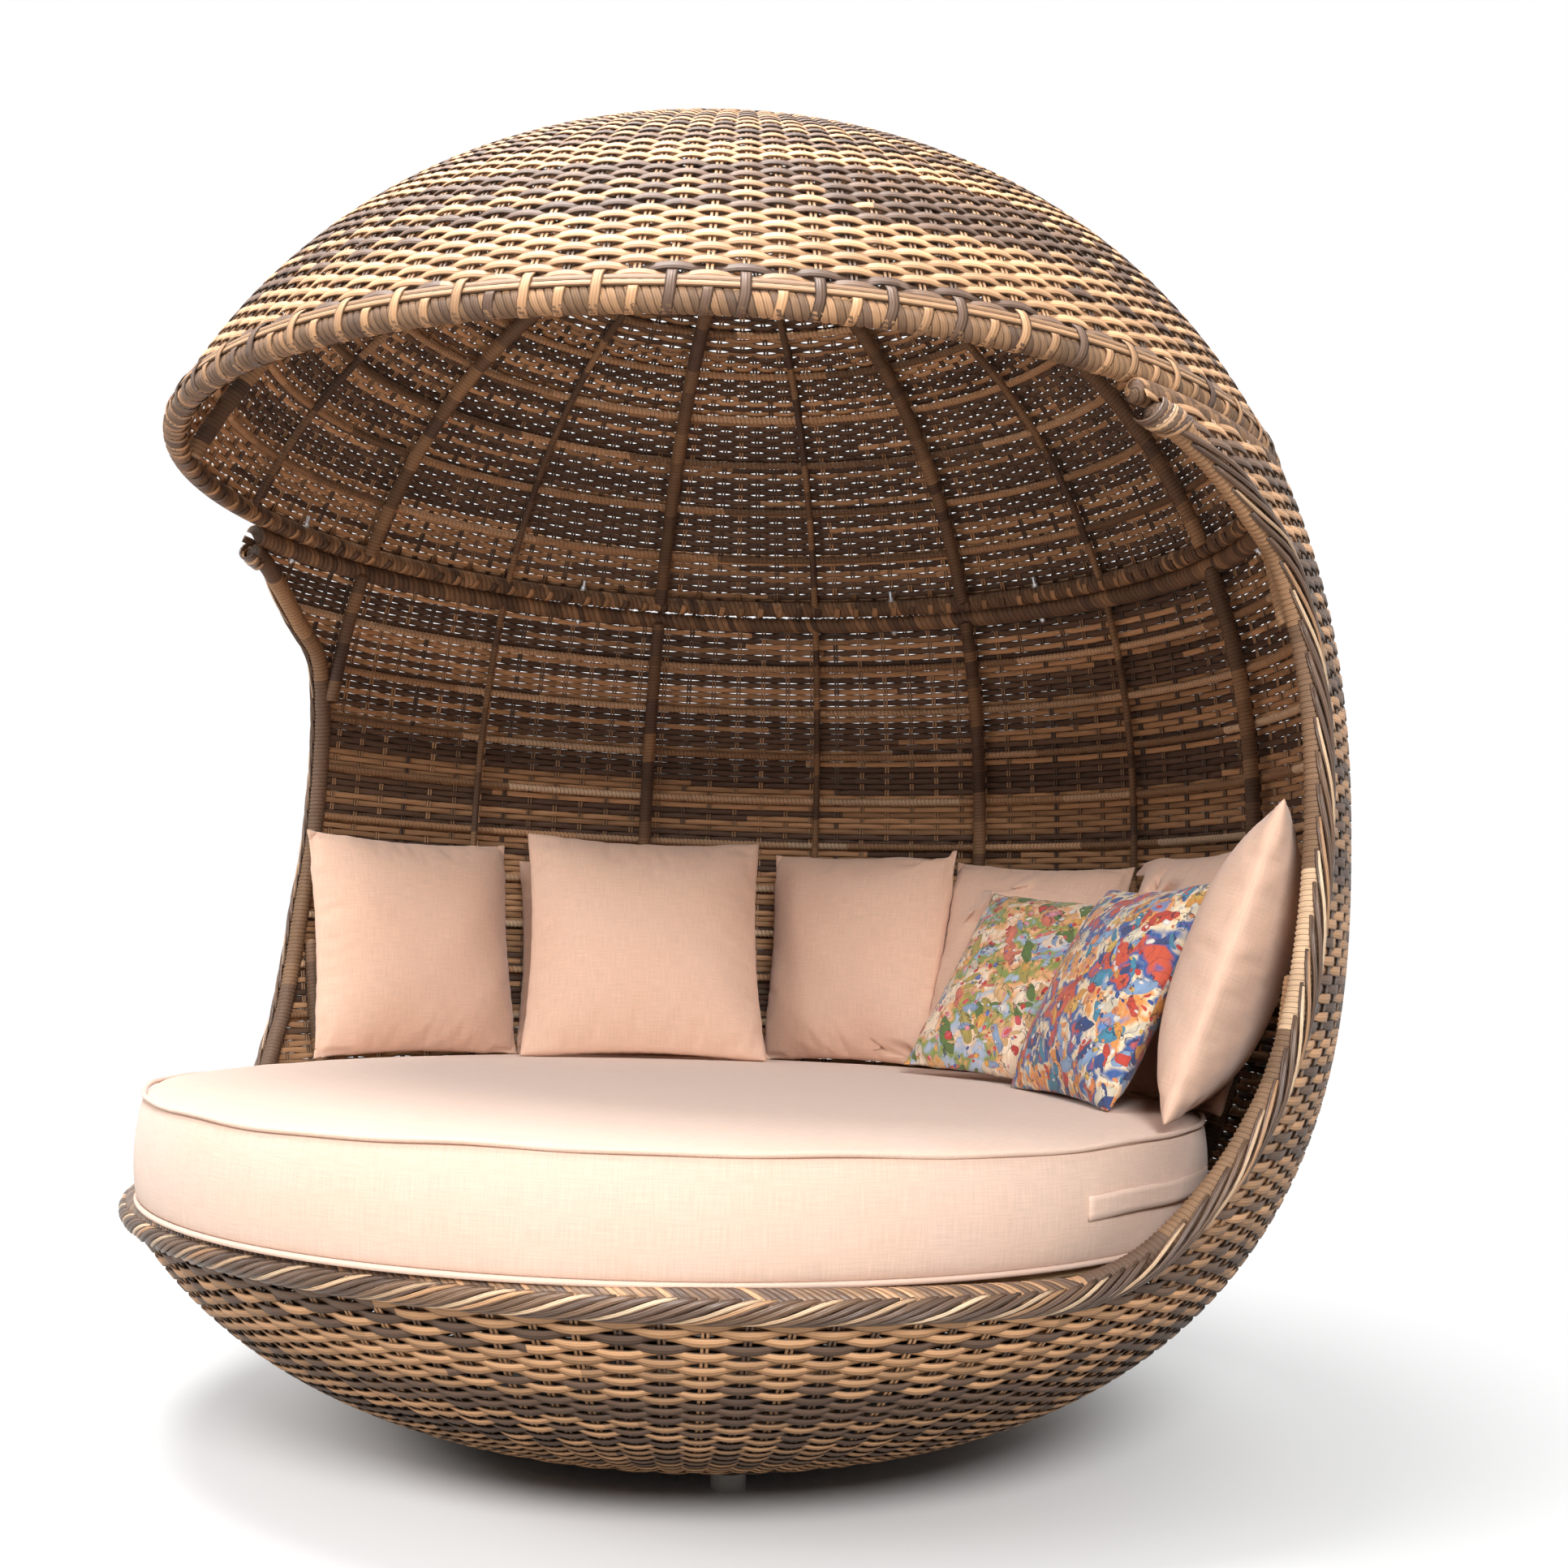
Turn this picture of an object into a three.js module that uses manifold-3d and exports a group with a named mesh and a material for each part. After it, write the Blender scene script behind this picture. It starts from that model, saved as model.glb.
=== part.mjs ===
// Outdoor daybed with a canopy: a woven bowl and a woven dome on a frame of bent tubes, a round mattress and
// nine loose pillows. The bowl rises at the back into a half shell, and the dome is bolted to its top ring.
// Millimetres, +Z up. The back is +Y, the open side faces -Y, and the part stands on four glides at Z = 0.
import * as THREE from "three";
import { mergeGeometries, mergeVertices } from "three/addons/utils/BufferGeometryUtils.js";
import Module from "manifold-3d";

const wasm = await Module();
wasm.setup();

// Driving sizes of the two shells
const waistRadius = 1000; // widest radius, measured on the outside of the weave
const waistHeight = 943; // height of the widest section above the ground
const crownHeight = 2046; // top of the dome above the ground
const crownFullness = 2.25; // exponent of the profile above the waist; 2 would be an ellipse
const bowlFullness = 2.58; // exponent of the profile below the waist
const baseRadius = 350; // radius of the ring that the shells stand on
const lipShare = 0.3648; // height of the rim tube along the front of the seat, as a share of the waist's
const jointShare = 0.4823; // height of the lower shell's top ring, as a share of the way from waist to crown
const ringGap = 4; // daylight between the lower shell's ring and the dome's ring

// Sections
const weaveThickness = 8;
const hoopSize = 10; // side of the square that stands for a round hoop
const slimRibSize = 13;
const mainRibRadius = 14;
const ringRadius = 15; // tube radius of the two rings of the joint
const ringDepth = 17; // depth of both rings' centres under the outer surface
const rimRadius = 16;
const baseTubeRadius = 14;
const seatTubeRadius = 12.5;
const braidWidth = 40;
const braidThickness = 14;
const braidAside = 32; // from the rim tube's centre to the braid's, along the weave
const weldDepth = 2.5; // how far a slim rib is sunk into the hoops that it is welded to
const clearance = 0.3; // between pieces that touch
const bendGap = 1; // between a skin and a flat face that it bends over
const mergeDistance = 0.001;

// Counts and angles
const facets = 32; // flats around the shells
const ribCount = 16;
const lowerBays = 18; // hoop spacings from the base ring to the joint ring
const canopyBays = 10;
const tubeSides = 6;
const braidSides = 6;
const rimSteps = 56;
const profileSteps = 720;
const halvings = 40;
const slimFullSteps = [-3, -1, 1, 3]; // slim ribs that reach the joint ring, in rib spacings from the back
const slimBowlSteps = [-7, -5, 5, 7]; // slim ribs that end at the lip
const mainFullSteps = [-2, 0, 2];
const mainBowlSteps = [-6, 6, 8];
const sideSteps = [-4, 4];
const braidSteps = 44;
const lowerHoopBays = [4, 8, 13, 14, 15, 16, 17];
const canopyHoopBays = [2, 4, 6];
const lowerSkinBays = [2, 4, 6, 8, 10, 12, 13, 14, 15, 16, 17];
const canopySkinBays = [2, 4, 6, 8, 10];
const mainRibBays = 2; // bays to each straight run of a main rib
const weaveLapShare = 0.7; // how far the weave laps over a ring, as a share of the ring's tube radius
const fullTurn = 2 * Math.PI;
const quarterTurn = Math.PI / 2;
const ribAngle = fullTurn / ribCount;

// Seat
const deckThickness = 12;
const seatBarSize = 20;
const seatBarReachShare = 0.33; // distance of the seat bars from the middle, as a share of the ring's radius
const mattressWidthShare = 0.795; // half width, as a share of the widest radius
const mattressDepthShare = 0.848; // half depth
const mattressForwardShare = 0.032; // how far the mattress lies in front of the shells' axis
const mattressThickness = 150;
const mattressCrown = 14;
const crownPower = 4; // exponent of the crown's fall towards the edge
const mattressBulge = 7;
const mattressEdge = 14; // rounding where the side meets the top and the bottom
const mattressFacets = 40;
const edgeSteps = 2;
const crownSteps = 3;
const handleWidth = 30;
const handleThickness = 3;
const handleFromShare = 0.206; // ends of the strap, as shares of a full turn from the back to the right
const handleToShare = 0.292;

// Joint hardware and feet
const boltRadius = 4;
const boltHeadWidth = 13; // across the corners of the hexagon
const boltHeadHeight = 5.3;
const boltEnd = 14; // thread that stands above the nut
const nutHeight = 6.5;
const lugRadius = 10;
const boltSides = 6;
const hexSides = 6;
const boltStepShares = [-4.5, -2.5, -0.5, 0.5, 2.5, 4.5]; // places in rib spacings from the back
const hubRadius = 75;
const hubHeight = 26;
const glideRadius = 25;
const glideCount = 4;
const glideSides = 16;

// The rim of the lower shell: degrees from the back, and the share of the way from lip to joint ring
const rimShares = [
  [113, 0],
  [109.5, 0.008],
  [105.5, 0.027],
  [102.6, 0.058],
  [100, 0.095],
  [97.8, 0.132],
  [95.8, 0.176],
  [94, 0.222],
  [92, 0.31],
  [90.8, 0.4],
  [90, 0.465],
  [89.4, 0.545],
  [89.4, 0.66],
  [90.2, 0.755],
  [92.5, 0.845],
  [96.5, 0.89],
  [101, 0.935],
  [105, 0.965],
  [108.5, 0.979],
];
const hornShare = 0.067; // how far the woven horn reaches past the rim tube, as a share of a rib spacing
const strutBottomShare = 0.77; // where each side strut leaves the rim tube
const sideRibTopShare = 0.35; // where each side rib of the bowl meets the rim tube
const braidTrimShare = 0.036; // length at each end of the rim that has no braid

// Pillows
const plainThickness = 150;
const printedThickness = 130;
const pillowSettle = 5; // how far a pillow presses into the mattress
const drawnInShare = 0.055; // how far a side pulls in between its corners
const crownShare = 0.42; // exponent that fills the pillow out towards its edges
const pillowGrid = 8;

// Each pillow's side and the middle of its bottom seam, as shares of the widest radius, then the degrees by
// which it faces aside, leans back and rolls.
const pillowShares = [
  { name: "pillow_2", side: 0.43, x: -0.59, y: 0.505, facing: 48, lean: 14, roll: 0 },
  { name: "pillow_1", side: 0.448, x: -0.761, y: 0.113, facing: 74, lean: 12, roll: 0 },
  { name: "pillow_3", side: 0.484, x: -0.38, y: 0.329, facing: 44, lean: 23, roll: 0 },
  { name: "pillow_4", side: 0.43, x: -0.154, y: 0.736, facing: 0, lean: 5, roll: 1 },
  { name: "pillow_6", side: 0.44, x: 0.603, y: 0.47, facing: -46, lean: 9, roll: 0 },
  { name: "pillow_5", side: 0.43, x: 0.201, y: 0.692, facing: -10, lean: 13, roll: -2 },
  { name: "pillow_7", side: 0.477, x: 0.738, y: 0.168, facing: -75, lean: 19, roll: 2 },
  { name: "printed_pillow_1", print: true, side: 0.397, x: 0.306, y: 0.4, facing: -12, lean: 34, roll: -4 },
  { name: "printed_pillow_2", print: true, side: 0.39, x: 0.524, y: 0.21, facing: -43, lean: 27, roll: 0 },
];

// Colours and finishes
const finishes = {
  tanWicker: { color: 0xb98a55, roughness: 0.55, metalness: 0 },
  darkWicker: { color: 0x5a4334, roughness: 0.55, metalness: 0 },
  frameTube: { color: 0x6b4c33, roughness: 0.5, metalness: 0 },
  linen: { color: 0xdcae93, roughness: 0.9, metalness: 0 },
  print: { color: 0xc06a4a, roughness: 0.85, metalness: 0 },
  zinc: { color: 0xb9bcc0, roughness: 0.35, metalness: 0.9 },
  rubber: { color: 0x222222, roughness: 0.8, metalness: 0 },
  board: { color: 0x8a6a48, roughness: 0.7, metalness: 0 },
};

// The shells' profile is half a superellipse. A turn of a quarter circle up or down from the waist is a pole.
function turnAt(height) {
  const above = height >= waistHeight;
  const reach = above ? crownHeight - waistHeight : waistHeight;
  const fullness = above ? crownFullness : bowlFullness;
  const share = Math.min(Math.abs(height - waistHeight) / reach, 1);
  const turn = Math.asin(share ** (fullness / 2));
  return above ? turn : -turn;
}

// A point of the profile as radius and height, moved in from the outer surface by a depth.
function profilePoint(turn, depth = 0) {
  const above = turn >= 0;
  const reach = above ? crownHeight - waistHeight : waistHeight;
  const fullness = above ? crownFullness : bowlFullness;
  const cosine = Math.max(Math.cos(turn), 0);
  const sine = Math.abs(Math.sin(turn));
  const out = cosine ** (2 - 2 / fullness) / waistRadius;
  const up = sine ** (2 - 2 / fullness) / reach;
  const slope = depth / Math.hypot(out, up);
  const rise = reach * sine ** (2 / fullness) - slope * up;
  const radius = waistRadius * cosine ** (2 / fullness) - slope * out;
  return new THREE.Vector2(Math.max(radius, 0), waistHeight + (above ? rise : -rise));
}

// Length along the profile, counted from the bottom pole.
const lengths = [{ turn: -quarterTurn, length: 0 }];
for (let step = 1; step <= profileSteps; step += 1) {
  const last = lengths[step - 1];
  const turn = -quarterTurn + (Math.PI * step) / profileSteps;
  const stretch = profilePoint(turn).distanceTo(profilePoint(last.turn));
  lengths.push({ turn, length: last.length + stretch });
}

function interpolate(value, from, to) {
  const next = Math.max(lengths.findIndex((row) => row[from] >= value), 1);
  const low = lengths[next - 1];
  const high = lengths[next];
  const share = (value - low[from]) / (high[from] - low[from]);
  return THREE.MathUtils.lerp(low[to], high[to], share);
}

const lengthAt = (height) => interpolate(turnAt(height), "turn", "length");
const turnOf = (length) => interpolate(length, "length", "turn");
const profileLength = lengths[profileSteps].length;

// A place in the part's frame: the angle runs from the back (+Y) round to the right (+X).
function placeAt(angle, point) {
  return new THREE.Vector3(point.x * Math.sin(angle), point.x * Math.cos(angle), point.y);
}

// Depths of the layers under the outer surface of the weave
const hoopDepth = weaveThickness + bendGap + hoopSize / 2;
const slimRibDepth = hoopDepth + hoopSize / 2 - weldDepth + slimRibSize / 2;
const mainRibDepth = hoopDepth + hoopSize / 2 + clearance + mainRibRadius;
const innerDepth = mainRibDepth + mainRibRadius;

// Places that follow the shells' main sizes
const lipHeight = waistHeight * lipShare;
const jointHeight = THREE.MathUtils.lerp(waistHeight, crownHeight, jointShare);
const mattressHalfWidth = waistRadius * mattressWidthShare;
const mattressHalfDepth = waistRadius * mattressDepthShare;
const mattressForward = waistRadius * mattressForwardShare;
const pillows = pillowShares.map((pillow) => ({
  ...pillow,
  side: pillow.side * waistRadius,
  x: pillow.x * waistRadius,
  y: pillow.y * waistRadius,
}));

// Stations along the profile
const canopyHeight = jointHeight + 2 * ringRadius + ringGap;
const jointLength = lengthAt(jointHeight);
const canopyLength = lengthAt(canopyHeight);
const baseTurn = -Math.acos((baseRadius / waistRadius) ** (bowlFullness / 2));
const baseLength = interpolate(baseTurn, "turn", "length");
const lowerPitch = (jointLength - baseLength) / lowerBays;
const canopyPitch = (profileLength - canopyLength) / canopyBays;
const lowerStation = (bay) => baseLength + bay * lowerPitch;
const canopyStation = (bay) => canopyLength + bay * canopyPitch;

const counted = (count) => Array.from({ length: count }, (_, index) => index);

// Solids
function solidOf(geometry) {
  const bare = geometry.clone();
  bare.deleteAttribute("normal");
  bare.deleteAttribute("uv");
  const merged = mergeVertices(bare, mergeDistance);
  const corners = merged.index.array;
  const triangles = [];
  for (let first = 0; first < corners.length; first += 3) {
    const [a, b, c] = corners.slice(first, first + 3);
    if (a !== b && b !== c && c !== a) triangles.push(a, b, c);
  }
  return new wasm.Manifold(
    new wasm.Mesh({
      numProp: 3,
      vertProperties: merged.attributes.position.array,
      triVerts: new Uint32Array(triangles),
    }),
  );
}

function geometryOf(solid) {
  const mesh = solid.getMesh();
  const geometry = new THREE.BufferGeometry();
  geometry.setAttribute("position", new THREE.BufferAttribute(mesh.vertProperties, 3));
  geometry.setIndex(new THREE.BufferAttribute(mesh.triVerts, 1));
  geometry.computeVertexNormals();
  return geometry;
}

const cutFrom = (solid, ...cutters) => cutters.reduce((left, cutter) => left.subtract(cutter), solid);

// A closed outline of radius and height, turned about the shells' axis.
function turned(outline, segments = facets) {
  const geometry = new THREE.LatheGeometry(outline, segments);
  geometry.rotateX(quarterTurn);
  return solidOf(geometry);
}

// The corners of a regular polygon; the first corner or the first flat faces along the outline's own X.
function polygon(radius, sides, flatFirst = false) {
  const corners = [];
  for (let corner = 0; corner < sides; corner += 1) {
    const angle = (fullTurn * (corner + (flatFirst ? 0.5 : 0))) / sides;
    corners.push(new THREE.Vector2(radius * Math.cos(angle), radius * Math.sin(angle)));
  }
  return corners;
}

// A closed ring of tube about the shells' axis. The section leans by an angle.
function ringOf(centre, section, lean = 0) {
  const origin = new THREE.Vector2();
  const outline = section.map((corner) => corner.clone().rotateAround(origin, lean).add(centre));
  outline.push(outline[0].clone());
  return turned(outline);
}

// A ring at a turn of the profile and a depth under the weave, its section square to the weave.
function ringAt(turn, depth, section) {
  const centre = profilePoint(turn, depth);
  return ringOf(centre, section, profilePoint(turn).sub(centre).angle());
}

// A line on the shells whose frames keep a section's X square to the woven surface and its Y along it.
class Strand extends THREE.Curve {
  getPoint(share) {
    return this.frameAt(share).point;
  }

  computeFrenetFrames(steps) {
    const frames = { tangents: [], normals: [], binormals: [] };
    for (let step = 0; step <= steps; step += 1) {
      const { tangent, normal, side } = this.frameAt(this.getUtoTmapping(step / steps));
      frames.tangents.push(tangent);
      frames.normals.push(normal);
      frames.binormals.push(side);
    }
    return frames;
  }
}

// The direction square to the woven surface at a place near it.
function surfaceNormal(point) {
  const turn = turnAt(point.z);
  const slope = profilePoint(turn).sub(profilePoint(turn, weaveThickness)).normalize();
  return placeAt(Math.atan2(point.x, point.y), slope);
}

// One meridian of the shells at a depth, between two lengths along the profile.
class Meridian extends Strand {
  constructor(angle, depth, fromLength, toLength) {
    super();
    Object.assign(this, { angle, depth, fromLength, toLength });
  }

  frameAt(share) {
    const length = THREE.MathUtils.lerp(this.fromLength, this.toLength, share);
    const turn = turnOf(length);
    const inner = profilePoint(turn, this.depth);
    const normal = placeAt(this.angle, profilePoint(turn).sub(inner).normalize());
    const side = new THREE.Vector3(-Math.cos(this.angle), Math.sin(this.angle), 0);
    const tangent = new THREE.Vector3().crossVectors(normal, side).normalize();
    return { point: placeAt(this.angle, inner), tangent, normal, side };
  }
}

function sweep(curve, section, steps) {
  const shape = new THREE.Shape(section);
  return solidOf(new THREE.ExtrudeGeometry(shape, { steps, extrudePath: curve, bevelEnabled: false }));
}

function meridianTube(angle, depth, fromLength, toLength, section, pitch) {
  const steps = Math.max(Math.round((toLength - fromLength) / pitch), 2);
  return sweep(new Meridian(angle, depth, fromLength, toLength), section, steps);
}

// The rim of the lower shell, from its left horn along the front lip to its right horn. Sideways moves a
// strand along the weave, away from the opening, and outwards moves it off the tube's centre.
class Rim extends Strand {
  constructor(trimShare = 0, sideways = 0, outwards = 0) {
    super();
    Object.assign(this, { trimShare, sideways, outwards });
    const right = rimShares.map(([degrees, share]) => [
      THREE.MathUtils.degToRad(degrees),
      THREE.MathUtils.lerp(lipHeight, jointHeight, share),
    ]);
    const lip = [];
    for (let angle = Math.PI - ribAngle / 2; angle > right[0][0] + ribAngle / 4; angle -= ribAngle / 2) {
      lip.push([angle, lipHeight]);
    }
    const half = [...lip, ...right];
    const left = half.map(([angle, height]) => [fullTurn - angle, height]).reverse();
    const stops = [...left, [Math.PI, lipHeight], ...half];
    this.line = new THREE.CatmullRomCurve3(
      stops.map(([angle, height]) => placeAt(angle, profilePoint(turnAt(height), rimRadius))),
    );
  }

  frameAt(share) {
    const along = THREE.MathUtils.lerp(this.trimShare, 1 - this.trimShare, share);
    const tangent = this.line.getTangentAt(along);
    const point = this.line.getPointAt(along);
    const side = new THREE.Vector3().crossVectors(tangent, surfaceNormal(point)).normalize();
    const normal = new THREE.Vector3().crossVectors(side, tangent).normalize();
    point.addScaledVector(side, this.sideways).addScaledVector(normal, this.outwards);
    return { point, tangent, normal, side };
  }
}

// Everything in front of the rim: a stack of sectors from the axis to just beyond the shells. Their edges
// follow the right side of the rim, with two levels to each row of its table.
function openingSolid() {
  const reach = waistRadius + rimRadius;
  const { line } = new Rim();
  const runs = line.points.length - 1;
  const levels = counted(2 * rimShares.length - 1).map((step) => {
    const point = line.getPoint((runs - rimShares.length + 1 + step / 2) / runs);
    return [Math.atan2(point.x, point.y), point.z];
  });
  const hornAngle = levels[levels.length - 1][0] + hornShare * ribAngle;
  levels.push([hornAngle, jointHeight - ringRadius]);
  levels.push([hornAngle, crownHeight]);
  const spokes = facets / 2;
  const points = [];
  levels.forEach(([from, height]) => {
    points.push([0, 0, height]);
    for (let spoke = 0; spoke <= spokes; spoke += 1) {
      const angle = THREE.MathUtils.lerp(from, fullTurn - from, spoke / spokes);
      points.push([reach * Math.sin(angle), reach * Math.cos(angle), height]);
    }
  });
  const row = spokes + 2;
  const faces = [];
  for (let level = 0; level + 1 < levels.length; level += 1) {
    for (let spoke = 0; spoke < row; spoke += 1) {
      const a = level * row + spoke;
      const b = level * row + ((spoke + 1) % row);
      faces.push(a, a + row, b + row, a, b + row, b);
    }
  }
  const top = (levels.length - 1) * row;
  for (let spoke = 1; spoke + 1 < row; spoke += 1) {
    faces.push(0, spoke, spoke + 1);
    faces.push(top, top + spoke + 1, top + spoke);
  }
  const geometry = new THREE.BufferGeometry();
  geometry.setAttribute("position", new THREE.Float32BufferAttribute(points.flat(), 3));
  geometry.setIndex(faces);
  return solidOf(geometry);
}

// Sections, and the cutters that leave the clearance between pieces that touch
const scaled = (outline, thickness, width) =>
  outline.map((corner) => new THREE.Vector2((corner.x * thickness) / 2, (corner.y * width) / 2));
const flatted = (sides) => polygon(1 / Math.cos(Math.PI / sides), sides, true);
const rectangle = (thickness, width) => scaled(flatted(4), thickness, width);
const square = (size) => rectangle(size, size);
const flattened = (thickness, width) => scaled(flatted(braidSides), thickness, width);
const tube = (radius) => polygon(radius, tubeSides);
const flatDistance = (radius) => radius * Math.cos(Math.PI / tubeSides); // from a tube's centre to its flats
const jointTurn = turnOf(jointLength);
const canopyTurn = turnOf(canopyLength);
const opening = openingSolid();
const rimTube = sweep(new Rim(), tube(rimRadius), rimSteps);
const rimCutter = sweep(new Rim(), tube(rimRadius + clearance), rimSteps);
const edgeWidth = 2 * (flatDistance(rimRadius) + clearance);
const rimEdge = sweep(new Rim(), rectangle(4 * rimRadius, edgeWidth), rimSteps);
const jointRing = ringAt(jointTurn, ringDepth, tube(ringRadius));
const jointCutter = ringAt(jointTurn, ringDepth, tube(ringRadius + clearance));
const canopyRing = ringAt(canopyTurn, ringDepth, tube(ringRadius));
const canopyCutter = ringAt(canopyTurn, ringDepth, tube(ringRadius + clearance));
const baseRing = ringAt(baseTurn, baseTubeRadius, tube(baseTubeRadius));
const baseCutter = ringAt(baseTurn, baseTubeRadius, tube(baseTubeRadius + clearance));

// Bolts through both rings
const jointCentre = profilePoint(jointTurn, ringDepth);
const canopyCentre = profilePoint(canopyTurn, ringDepth);
const seam = canopyCentre.clone().sub(jointCentre);
const seamMiddle = jointCentre.clone().add(canopyCentre).multiplyScalar(0.5);
const seamTilt = Math.atan2(-seam.x, seam.y);

// A round bar along Z, from one height to another.
function bar(radius, from, to, sides) {
  const geometry = new THREE.CylinderGeometry(radius, radius, to - from, sides);
  geometry.rotateX(quarterTurn);
  geometry.translate(0, 0, (from + to) / 2);
  return geometry;
}

// Puts anything whose Z runs along a bolt at one of the bolts' places.
function seatAtBolt(object, angle) {
  const tilted = new THREE.Matrix4().makeRotationX(seamTilt).setPosition(0, seamMiddle.x, seamMiddle.y);
  return object.applyMatrix4(new THREE.Matrix4().makeRotationZ(-angle).multiply(tilted));
}

const boltAngles = boltStepShares.map((share) => share * ribAngle);
const ringReach = seam.length() / 2 + flatDistance(ringRadius) + clearance; // to the far side of either ring
const boltHoles = boltAngles.map((angle) =>
  solidOf(seatAtBolt(bar(boltRadius + clearance, -2 * ringReach, 2 * ringReach, boltSides), angle)),
);
const lugs = boltAngles.map((angle) =>
  solidOf(seatAtBolt(bar(lugRadius, -seam.length() / 2, seam.length() / 2, boltSides), angle)),
);

// The outline of a skin, with a corner at each hoop.
function skinOutline(lengthsAlong) {
  const outer = lengthsAlong.map((length) => profilePoint(turnOf(length)));
  const inner = lengthsAlong.map((length) => profilePoint(turnOf(length), weaveThickness));
  return [...inner.reverse(), ...outer];
}

const lowerLaps = [
  baseLength + baseTubeRadius * weaveLapShare,
  ...lowerSkinBays.map(lowerStation),
  jointLength - ringRadius * weaveLapShare,
];
const canopyLaps = [
  canopyLength + ringRadius * weaveLapShare,
  ...canopySkinBays.map(canopyStation),
];
const lowerOutline = skinOutline(lowerLaps);
const lowerWeave = cutFrom(
  turned([...lowerOutline, lowerOutline[0].clone()]),
  opening,
  rimEdge,
  jointCutter,
  baseCutter,
);
const canopyWeave = cutFrom(turned(skinOutline(canopyLaps)), canopyCutter);

// The hub at the crown takes the ends of the ribs.
const hubPlace = crownHeight - mainRibDepth;
const hubHalf = hubHeight / 2;
const hubCorner = 1 / Math.cos(Math.PI / ribCount); // corner radius of a flat at unit distance
const hub = bar(hubRadius * hubCorner, hubPlace - hubHalf, hubPlace + hubHalf, ribCount);
hub.rotateZ(ribAngle / 2);
const hubCutter = bar((hubRadius + clearance) * hubCorner, hubPlace - innerDepth, crownHeight, ribCount);
hubCutter.rotateZ(ribAngle / 2);
const hubSpace = solidOf(hubCutter);

// Hoops and slim ribs, welded into one lattice for each shell
function lattice(hoopLengths, ribs) {
  const hoops = hoopLengths.map((length) => ringAt(turnOf(length), hoopDepth, square(hoopSize)));
  return [...hoops, ...ribs].reduce((whole, piece) => whole.add(piece));
}

const rimEnd = lengthAt(lipHeight);
const slimRib = (step, from, to, pitch) =>
  meridianTube(step * ribAngle, slimRibDepth, from, to, square(slimRibSize), pitch);
const lowerSlimRibs = slimFullSteps.map((step) => slimRib(step, baseLength, jointLength, lowerPitch));
const bowlSlimRibs = slimBowlSteps.map((step) => slimRib(step, baseLength, rimEnd, lowerPitch));
const lowerLattice = cutFrom(
  lattice(lowerHoopBays.map(lowerStation), [...lowerSlimRibs, ...bowlSlimRibs]),
  opening,
  rimCutter,
  jointCutter,
  baseCutter,
);
const canopySlimRibs = counted(ribCount / 2).map((index) =>
  slimRib(2 * index + 1, canopyLength, profileLength, canopyPitch),
);
const canopyLattice = cutFrom(
  lattice(canopyHoopBays.map(canopyStation), canopySlimRibs),
  canopyCutter,
  hubSpace,
);

// Main ribs
const mainRib = (step, from, to, pitch) =>
  meridianTube(step * ribAngle, mainRibDepth, from, to, tube(mainRibRadius), mainRibBays * pitch);
const sideHeight = (share) => THREE.MathUtils.lerp(lipHeight, jointHeight, share);

// Seat: a ring inside the ribs, two bars and a board
function turnUnder(height, depth) {
  let low = -quarterTurn;
  let high = quarterTurn;
  for (let halving = 0; halving < halvings; halving += 1) {
    const middle = (low + high) / 2;
    if (profilePoint(middle, depth).y < height) low = middle;
    else high = middle;
  }
  return (low + high) / 2;
}

const lipTop = profilePoint(turnAt(lipHeight), rimRadius).y + rimRadius;
const seatTop = lipTop - deckThickness - clearance;
const seatDepth = innerDepth + seatTubeRadius - weldDepth;
const seatTurn = turnUnder(seatTop - flatDistance(seatTubeRadius), seatDepth);
const seatCentre = profilePoint(seatTurn, seatDepth);
const seatRing = ringOf(seatCentre, tube(seatTubeRadius));
const seatCutter = ringOf(seatCentre, tube(seatTubeRadius + clearance));
const mattressBottom = lipTop + clearance;
const mattressTop = mattressBottom + mattressThickness;

// A closed outline for a soft round body: a flat bottom, a bulging side and a crowned top.
function mattressSolid(raise = 0) {
  const corner = (sign) =>
    counted(edgeSteps + 1).map((step) => {
      const angle = (quarterTurn * step) / edgeSteps;
      const out = mattressEdge * (sign < 0 ? Math.sin(angle) : Math.cos(angle));
      const up = mattressEdge * (sign < 0 ? 1 - Math.cos(angle) : Math.sin(angle) - 1);
      const floor = sign < 0 ? 0 : mattressThickness;
      return new THREE.Vector2(mattressHalfWidth - mattressEdge + out, floor + up);
    });
  const rounded = (mattressHalfWidth - mattressEdge) / crownSteps;
  const crown = counted(crownSteps).map((step) => {
    const radius = mattressHalfWidth - mattressEdge - (step + 1) * rounded;
    const share = radius / (mattressHalfWidth - mattressEdge);
    return new THREE.Vector2(radius, mattressThickness + mattressCrown * (1 - share ** crownPower));
  });
  crown[crownSteps - 1].x = 0;
  const belly = new THREE.Vector2(mattressHalfWidth + mattressBulge, mattressThickness / 2);
  const outline = [new THREE.Vector2(0, 0), ...corner(-1), belly, ...corner(1), ...crown];
  return soft(new THREE.LatheGeometry(outline, mattressFacets), raise);
}

// Turns a lathe upright, stretches it to the mattress's depth and sets it on the seat.
function soft(geometry, raise = 0) {
  geometry.rotateX(quarterTurn);
  geometry.scale(1, mattressHalfDepth / mattressHalfWidth, 1);
  geometry.translate(0, -mattressForward, mattressBottom + raise);
  return solidOf(geometry);
}

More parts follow.
